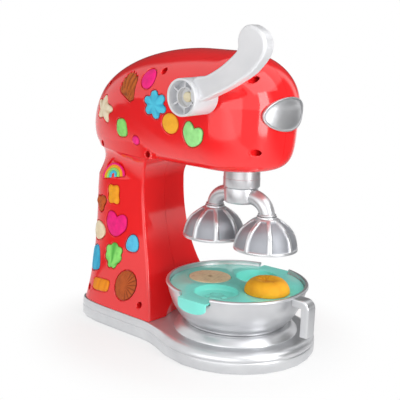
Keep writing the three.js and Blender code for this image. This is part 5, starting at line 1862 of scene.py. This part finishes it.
def bowl_curve(count, inward=0):
    """Points of (radius, height) up the bowl's outside, or set in from it."""
    share = np.linspace(0, 1, count)[:, None]
    start = np.array((bowl_foot_radius, plinth_top + clearance + bowl_foot_height / 2))
    belly, end = np.array(bowl_belly), np.array((rim_radius - rim_lip, rim_top - rim_bead))
    line = (1 - share) ** 2 * start + 2 * (1 - share) * share * belly + share**2 * end
    along = normalised(2 * (1 - share) * (belly - start) + 2 * share * (end - belly))
    return line + np.c_[-along[:, 1], along[:, 0]] * inward


def bowl_body():
    seat = plinth_top + clearance
    floor = seat + bowl_foot_height
    foot_inner = bowl_foot_radius - 2 * bowl_wall
    rim_inner = rim_radius - rim_lip - bowl_wall
    inner = [tuple(p) for p in bowl_curve(30, bowl_wall) if p[1] > floor + bowl_wall + 0.6]
    low = inner[0][0]
    top = rim_top - rim_lip * 0.4
    profile = [
        (0, floor),
        (foot_inner, floor),
        (foot_inner + 0.3, seat + 0.4),
        (foot_inner + 0.7, seat),
        (bowl_foot_radius - 0.8, seat),
        (bowl_foot_radius - 0.2, seat + 0.25),
        (bowl_foot_radius, seat + 0.8),
        *bowl_curve(34),
        (rim_radius - 0.35, rim_top - rim_bead + 0.1),
        (rim_radius, rim_top - rim_bead + 0.5),
        (rim_radius, top - 0.5),
        (rim_radius - 0.25, top),
        (rim_radius - 0.7, rim_top - 0.1),
        (rim_radius - 1.3, rim_top),
        (rim_inner + 0.5, rim_top),
        (rim_inner, rim_top - 0.4),
        *reversed(inner),
        (low - 1.5, floor + bowl_wall + 0.1),
        (low - 4, floor + bowl_wall),
        (0, floor + bowl_wall),
    ]
    return turned("bowl_moulding", profile, 180)


def handle_path():
    """Places along the handle's outer face, from the rim out and down, and the way inwards at each."""
    tip, top = rim_radius + handle_reach, rim_top - rim_bead / 2
    start, bend_start = rim_radius - bowl_wall / 2, tip - handle_bend
    line = [((reach, top), (0, -1)) for reach in np.linspace(start, bend_start, 5)[:-1]]
    for turn in np.linspace(0, math.pi / 2, 12):
        place = (bend_start + handle_bend * math.sin(turn), top - handle_bend * (1 - math.cos(turn)))
        line.append((place, (-math.sin(turn), -math.cos(turn))))
    heights = np.linspace(top - handle_bend, rim_top - handle_drop, 9)[1:]
    return line + [((tip, height), (-1, 0)) for height in heights]


def handle_section():
    """The channel's section as places across and inwards, with soft outer corners."""
    half = handle_width / 2
    inner = half - handle_wall
    right_half = [
        (inner - 0.8, handle_wall),
        (inner - 0.1, handle_wall + 0.6),
        (inner, handle_depth - 0.4),
        (inner + 0.3, handle_depth),
        (half - 0.4, handle_depth),
        (half, handle_depth - 0.4),
    ]
    for turn in np.linspace(0, math.pi / 2, 6):
        right_half.append((half - handle_soft * (1 - math.cos(turn)), handle_soft * (1 - math.sin(turn))))
    return right_half + [(-x, y) for x, y in reversed(right_half)]


def bowl_handle():
    """The channel swept along its path, drawn along X and turned to the rear."""
    section = handle_section()
    rings = [
        np.array([(-(reach + inward * deep), across, z + sink * deep) for across, deep in section])
        for (reach, z), (inward, sink) in handle_path()
    ]
    made = skin("handle", rings)
    made.data.transform(Matrix.Rotation(math.pi / 2, 4, "Z"))
    return made


def turned_with_bowl(obj):
    obj.data.transform(Matrix.Rotation(bowl_turn, 4, "Z"))
    return obj


def bowl_inside():
    """What is cut from the handle, so that it ends within the bowl's wall."""
    line = bowl_curve(24, bowl_wall / 2)
    top = rim_top + 1
    return turned("bowl_inside", [(0, line[0][1]), *line, (line[-1][0], top), (0, top)], 120)


bowl = combine(bowl_body(), join, combine(bowl_handle(), cut, bowl_inside()))
notch_end = (rim_radius + rim_lip, notch_width / 2)
notch_start = (-notch_end[0], -notch_end[1], rim_top - notch_depth)
combine(bowl, cut, block("notch", notch_start, (*notch_end, rim_top + 1)))
dress(smooth(turned_with_bowl(bowl), 40), silver, "bowl", "silver_plastic", "bowl")


# Tray. One clear teal moulding laid in the bowl's rim: a disc with four round moulds, two of them holding
# clay, and a tab at each side that bridges the rim in its notch and hangs down outside.
tray_height = 61.8
tray_thickness = 1.8
tray_gap = 0.9
mould_radius = 21.5
mould_wall = 1.6
moulds = {
    # place and depth
    "cookie": ((0, 34), 7),
    "donut": ((0, -36), 9),
    "deep": ((34, 0), 16),
    "shallow": ((-34, 0), 6),
}
tab_width = 33
tab_drop = 13
mould_soft = 1.1
tab_soft = 0.7
flower_reach = 11
flower_height = 1.6
tray_top = tray_height + tray_thickness
tray_radius = rim_radius - rim_lip - bowl_wall - tray_gap


def tray_tab(way):
    """A soft-cornered bridge over the rim with a flap that hangs down outside, thinner at its lower edge."""
    outside = rim_radius + clearance
    end = outside + tray_thickness
    half = tab_width / 2
    turns = np.linspace(math.pi, 0, 28)
    flap = [(half * math.cos(t), tray_top - mix(tab_drop / 2, tab_drop, math.sin(t))) for t in turns]
    left_side = [(-half, tray_top - tab_drop * share) for share in (0, 0.2, 0.4)]
    right_side = [(half, tray_top - tab_drop * share) for share in (0.4, 0.2, 0)]
    outline = np.array([*left_side, *flap, *right_side])
    middle = np.array((0, tray_top - tab_drop * 0.45))
    rings = []
    edges = ((outside, 0.3), (outside + 0.3, 0), (end - tab_soft, 0), (end - 0.2, 0.3), (end, tab_soft))
    for x, sunk in edges:
        shrunk = middle + (outline - middle) * (1 - sunk / half)
        rings.append(np.c_[np.full(len(shrunk), way * x), shrunk])
    near, away = sorted((way * (tray_radius - 2 * mould_wall), way * (end - tab_soft)))
    bridge = block("bridge", (near, -half, tray_height), (away, half, tray_top))
    return combine(skin("flap", rings), join, bridge)


def mould_cup(place, depth):
    low = tray_top - depth - mould_wall
    outer = mould_radius + mould_wall
    profile = [
        (0, low),
        (mould_radius - 1, low),
        (mould_radius + 0.2, low + 0.3),
        (outer - 0.3, low + 1),
        (outer, low + 2),
        (outer, tray_top),
        (0, tray_top),
    ]
    return turned("cup", profile, 96, place)


def mould_well(place, depth):
    low = tray_top - depth
    profile = [
        (0, low),
        (mould_radius - 2, low),
        (mould_radius - 0.7, low + 0.5),
        (mould_radius - 0.1, low + 1.8),
        (mould_radius, tray_top - mould_soft),
        (mould_radius + 0.15, tray_top - 0.25),
        (mould_radius + mould_soft, tray_top + 0.02),
        (mould_radius + mould_soft, tray_top + 1),
        (0, tray_top + 1),
    ]
    return turned("well", profile, 96, place)


def flower_print(place, depth, petal_count):
    """A raised flower on a mould's floor, which prints its form into the clay."""
    rings = []
    form = ((1, -0.4), (1, 0.1), (0.97, 0.5), (0.88, 0.8), (0.7, 1), (0.45, 0.9), (0.2, 0.7), (0.05, 0.65))
    turns = np.arange(96) * 2 * math.pi / 96
    for share, rise in form:
        notched = 1 - 0.14 * (1 - np.cos(petal_count * turns)) * (0.3 + 0.7 * share)
        points = circle(flower_reach * share, 96) * notched[:, None] + place
        rings.append(at_level(points, tray_top - depth + rise * flower_height))
    return skin("imprint", rings)


disc = [
    (0, tray_height),
    (tray_radius - 1.4, tray_height),
    (tray_radius - 0.5, tray_height + 0.25),
    (tray_radius, tray_height + 0.9),
    (tray_radius, tray_top - 0.4),
    (tray_radius - 0.15, tray_top - 0.1),
    (tray_radius - 0.5, tray_top),
    (0, tray_top),
]
tray = turned("tray_moulding", disc, 180)
combine(tray, join, *[mould_cup(*mould) for mould in moulds.values()], tray_tab(-1), tray_tab(1))
combine(tray, cut, *[mould_well(*mould) for mould in moulds.values()])
combine(tray, join, flower_print(*moulds["deep"], 5), flower_print(*moulds["shallow"], 6))
teal = moulded(
    "clear_teal",
    paint(150, 255, 242),
    paint(134, 246, 230),
    roughness=0.13,
    spread=0.06,
    flow=20,
    peel=260,
    height=0.00004,
    IOR=1.46,
    Transmission_Weight=0.1,
)
dress(smooth(turned_with_bowl(tray), 40), teal, "tray", "teal_plastic", "bowl_tray")


# Clay in the tray. A flat tan cookie with a finger hole, dragged and fibrous on top, and an orange donut
# whose hole has nearly closed, with soft creases running into it.
cookie_thickness = 7.6
cookie_hole = 1.6
cookie_edge = 1.4
donut_height = 21.5
donut_radius = 22.2
donut_hole_share = 0.5
donut_dimple = 0.35
donut_hollow = 0.8
clay_sides = 220
cookie_skin = 1.2
cookie_grain = 0.28
cookie_wave = 0.35
cookie_sink = 0.5
cookie_hole_shade = 0.8
fold_sharpness = 0.1
fold_radius = 7
fold_reach = 6
fold_depth = 0.9
donut_wave = 0.7
donut_lift_limit = 0.2
donut_eye_shade = 3


def turned_clay(name, profile, relief, closed=False):
    """A lump of revolution whose rings are lifted by relief, which also gives their painted shade."""
    rings, groove_shades = [], []
    for radius, z in profile:
        ring = at_level(circle(radius, clay_sides), z)
        lifts, groove_shade = relief(ring, radius)
        ring[:, 2] += lifts
        rings.append(ring)
        groove_shades.append(groove_shade)
    made = skin(name, rings, closed)
    set_groove_shade(made, np.concatenate(groove_shades))
    return made


def cookie_relief(ring, radius):
    """A face dragged into fibres along Y, with painted shade in its low fibres and round the finger hole."""
    face = np.clip(ring[:, 2] - cookie_top + cookie_skin, 0, 1)
    coarse = np.array([lump((x * 0.25, y * 1.6, 0), 0.5, 3) for x, y, _ in ring])
    fine = np.array([lump((x * 0.5, y * 3, 4), 0.6, 8) for x, y, _ in ring])
    grain = coarse + 0.5 * fine
    broad = np.array([lump(p, 0.09, 11) for p in ring])
    lifts = face * (cookie_grain * grain + cookie_wave * broad - cookie_sink)
    groove_shades = np.clip(face * (0.1 - 0.6 * grain), 0, 0.7)
    return lifts, groove_shades + bump(radius - cookie_hole, cookie_hole_shade)


def donut_relief(ring, radius):
    """Soft creases that run into the nearly closed hole, with painted shade in the creases and the hole."""
    high = np.clip((ring[:, 2] - tray_top - 3) / 6, 0, 1)
    turns = np.arctan2(ring[:, 1], ring[:, 0])
    wobble = np.array([lump(p, 0.07, 21) for p in ring])
    fold = np.array([lump((3 * math.cos(t), 3 * math.sin(t), 0), 1.0, 31) for t in turns])
    folded = bump(fold, fold_sharpness) * bump(radius - fold_radius, fold_reach)
    lifts = np.minimum(high * (donut_wave * wobble - fold_depth * folded), donut_lift_limit)
    return lifts, np.clip(high * (0.7 * folded + 0.8 * bump(radius, donut_eye_shade)), 0, 1)


cookie_low = tray_top - moulds["cookie"][1] + clearance
cookie_top = cookie_low + cookie_thickness
edge_radius = mould_radius - clearance
cookie_line = [
    (cookie_hole, cookie_low),
    (edge_radius - 1, cookie_low),
    (edge_radius, cookie_low + 1),
    (edge_radius, cookie_top - 2),
]
for turn in np.linspace(0, math.pi / 2, 8):
    inwards, up_edge = cookie_edge * (1 - math.cos(turn)), cookie_edge * math.sin(turn)
    cookie_line.append((edge_radius - inwards, cookie_top - 1.6 + up_edge))
cookie_line += [(r, cookie_top - 0.2) for r in np.linspace(edge_radius - 2.2, cookie_hole + 0.9, 44)]
cookie_line += [(cookie_hole + 0.3, cookie_top - 0.5), (cookie_hole, cookie_top - 1.4)]
cookie = turned_clay("cookie_dough", cookie_line, cookie_relief, True)
tan_dough = modelling_clay(
    "tan_dough",
    paint(246, 224, 184),
    paint(190, 154, 110),
    crumb=1100,
    crumb_height=0.0004,
    dent=120,
    dent_height=0.0008,
    mottle=0.3,
)
cookie = turned_with_bowl(moved_to(cookie, *moulds["cookie"][0]))
dress(smooth(cookie, 60), tan_dough, "tray", "tan_clay", "clay_cookie")

donut_low = tray_top - moulds["donut"][1] + clearance
seat = tray_top + clearance
rise = donut_low + donut_height - seat
donut_line = [
    (0.4, donut_low),
    (edge_radius - 1.2, donut_low),
    (edge_radius, donut_low + 1.2),
    (edge_radius, seat + 0.1),
]
for turn in np.linspace(0.02, (1 + donut_dimple) * math.pi / 2, 52):
    radius = mix(donut_radius * donut_hole_share, donut_radius, math.cos(turn))
    donut_line.append((radius, seat + rise * math.sin(turn)))
last_radius, last_z = donut_line[-1]
for share in (0.85, 0.65, 0.45, 0.28, 0.14, 0.04):
    donut_line.append((last_radius * share, last_z - donut_hollow * (1 - share**2)))
donut = turned_clay("donut_dough", donut_line, donut_relief)
orange_dough = modelling_clay(
    "orange_dough",
    paint(255, 182, 36),
    paint(232, 128, 16),
    crumb=900,
    crumb_height=0.00025,
    dent=110,
    dent_height=0.0009,
)
donut = turned_with_bowl(moved_to(donut, *moulds["donut"][0]))
dress(smooth(donut, 60), orange_dough, "tray", "orange_clay", "clay_donut")
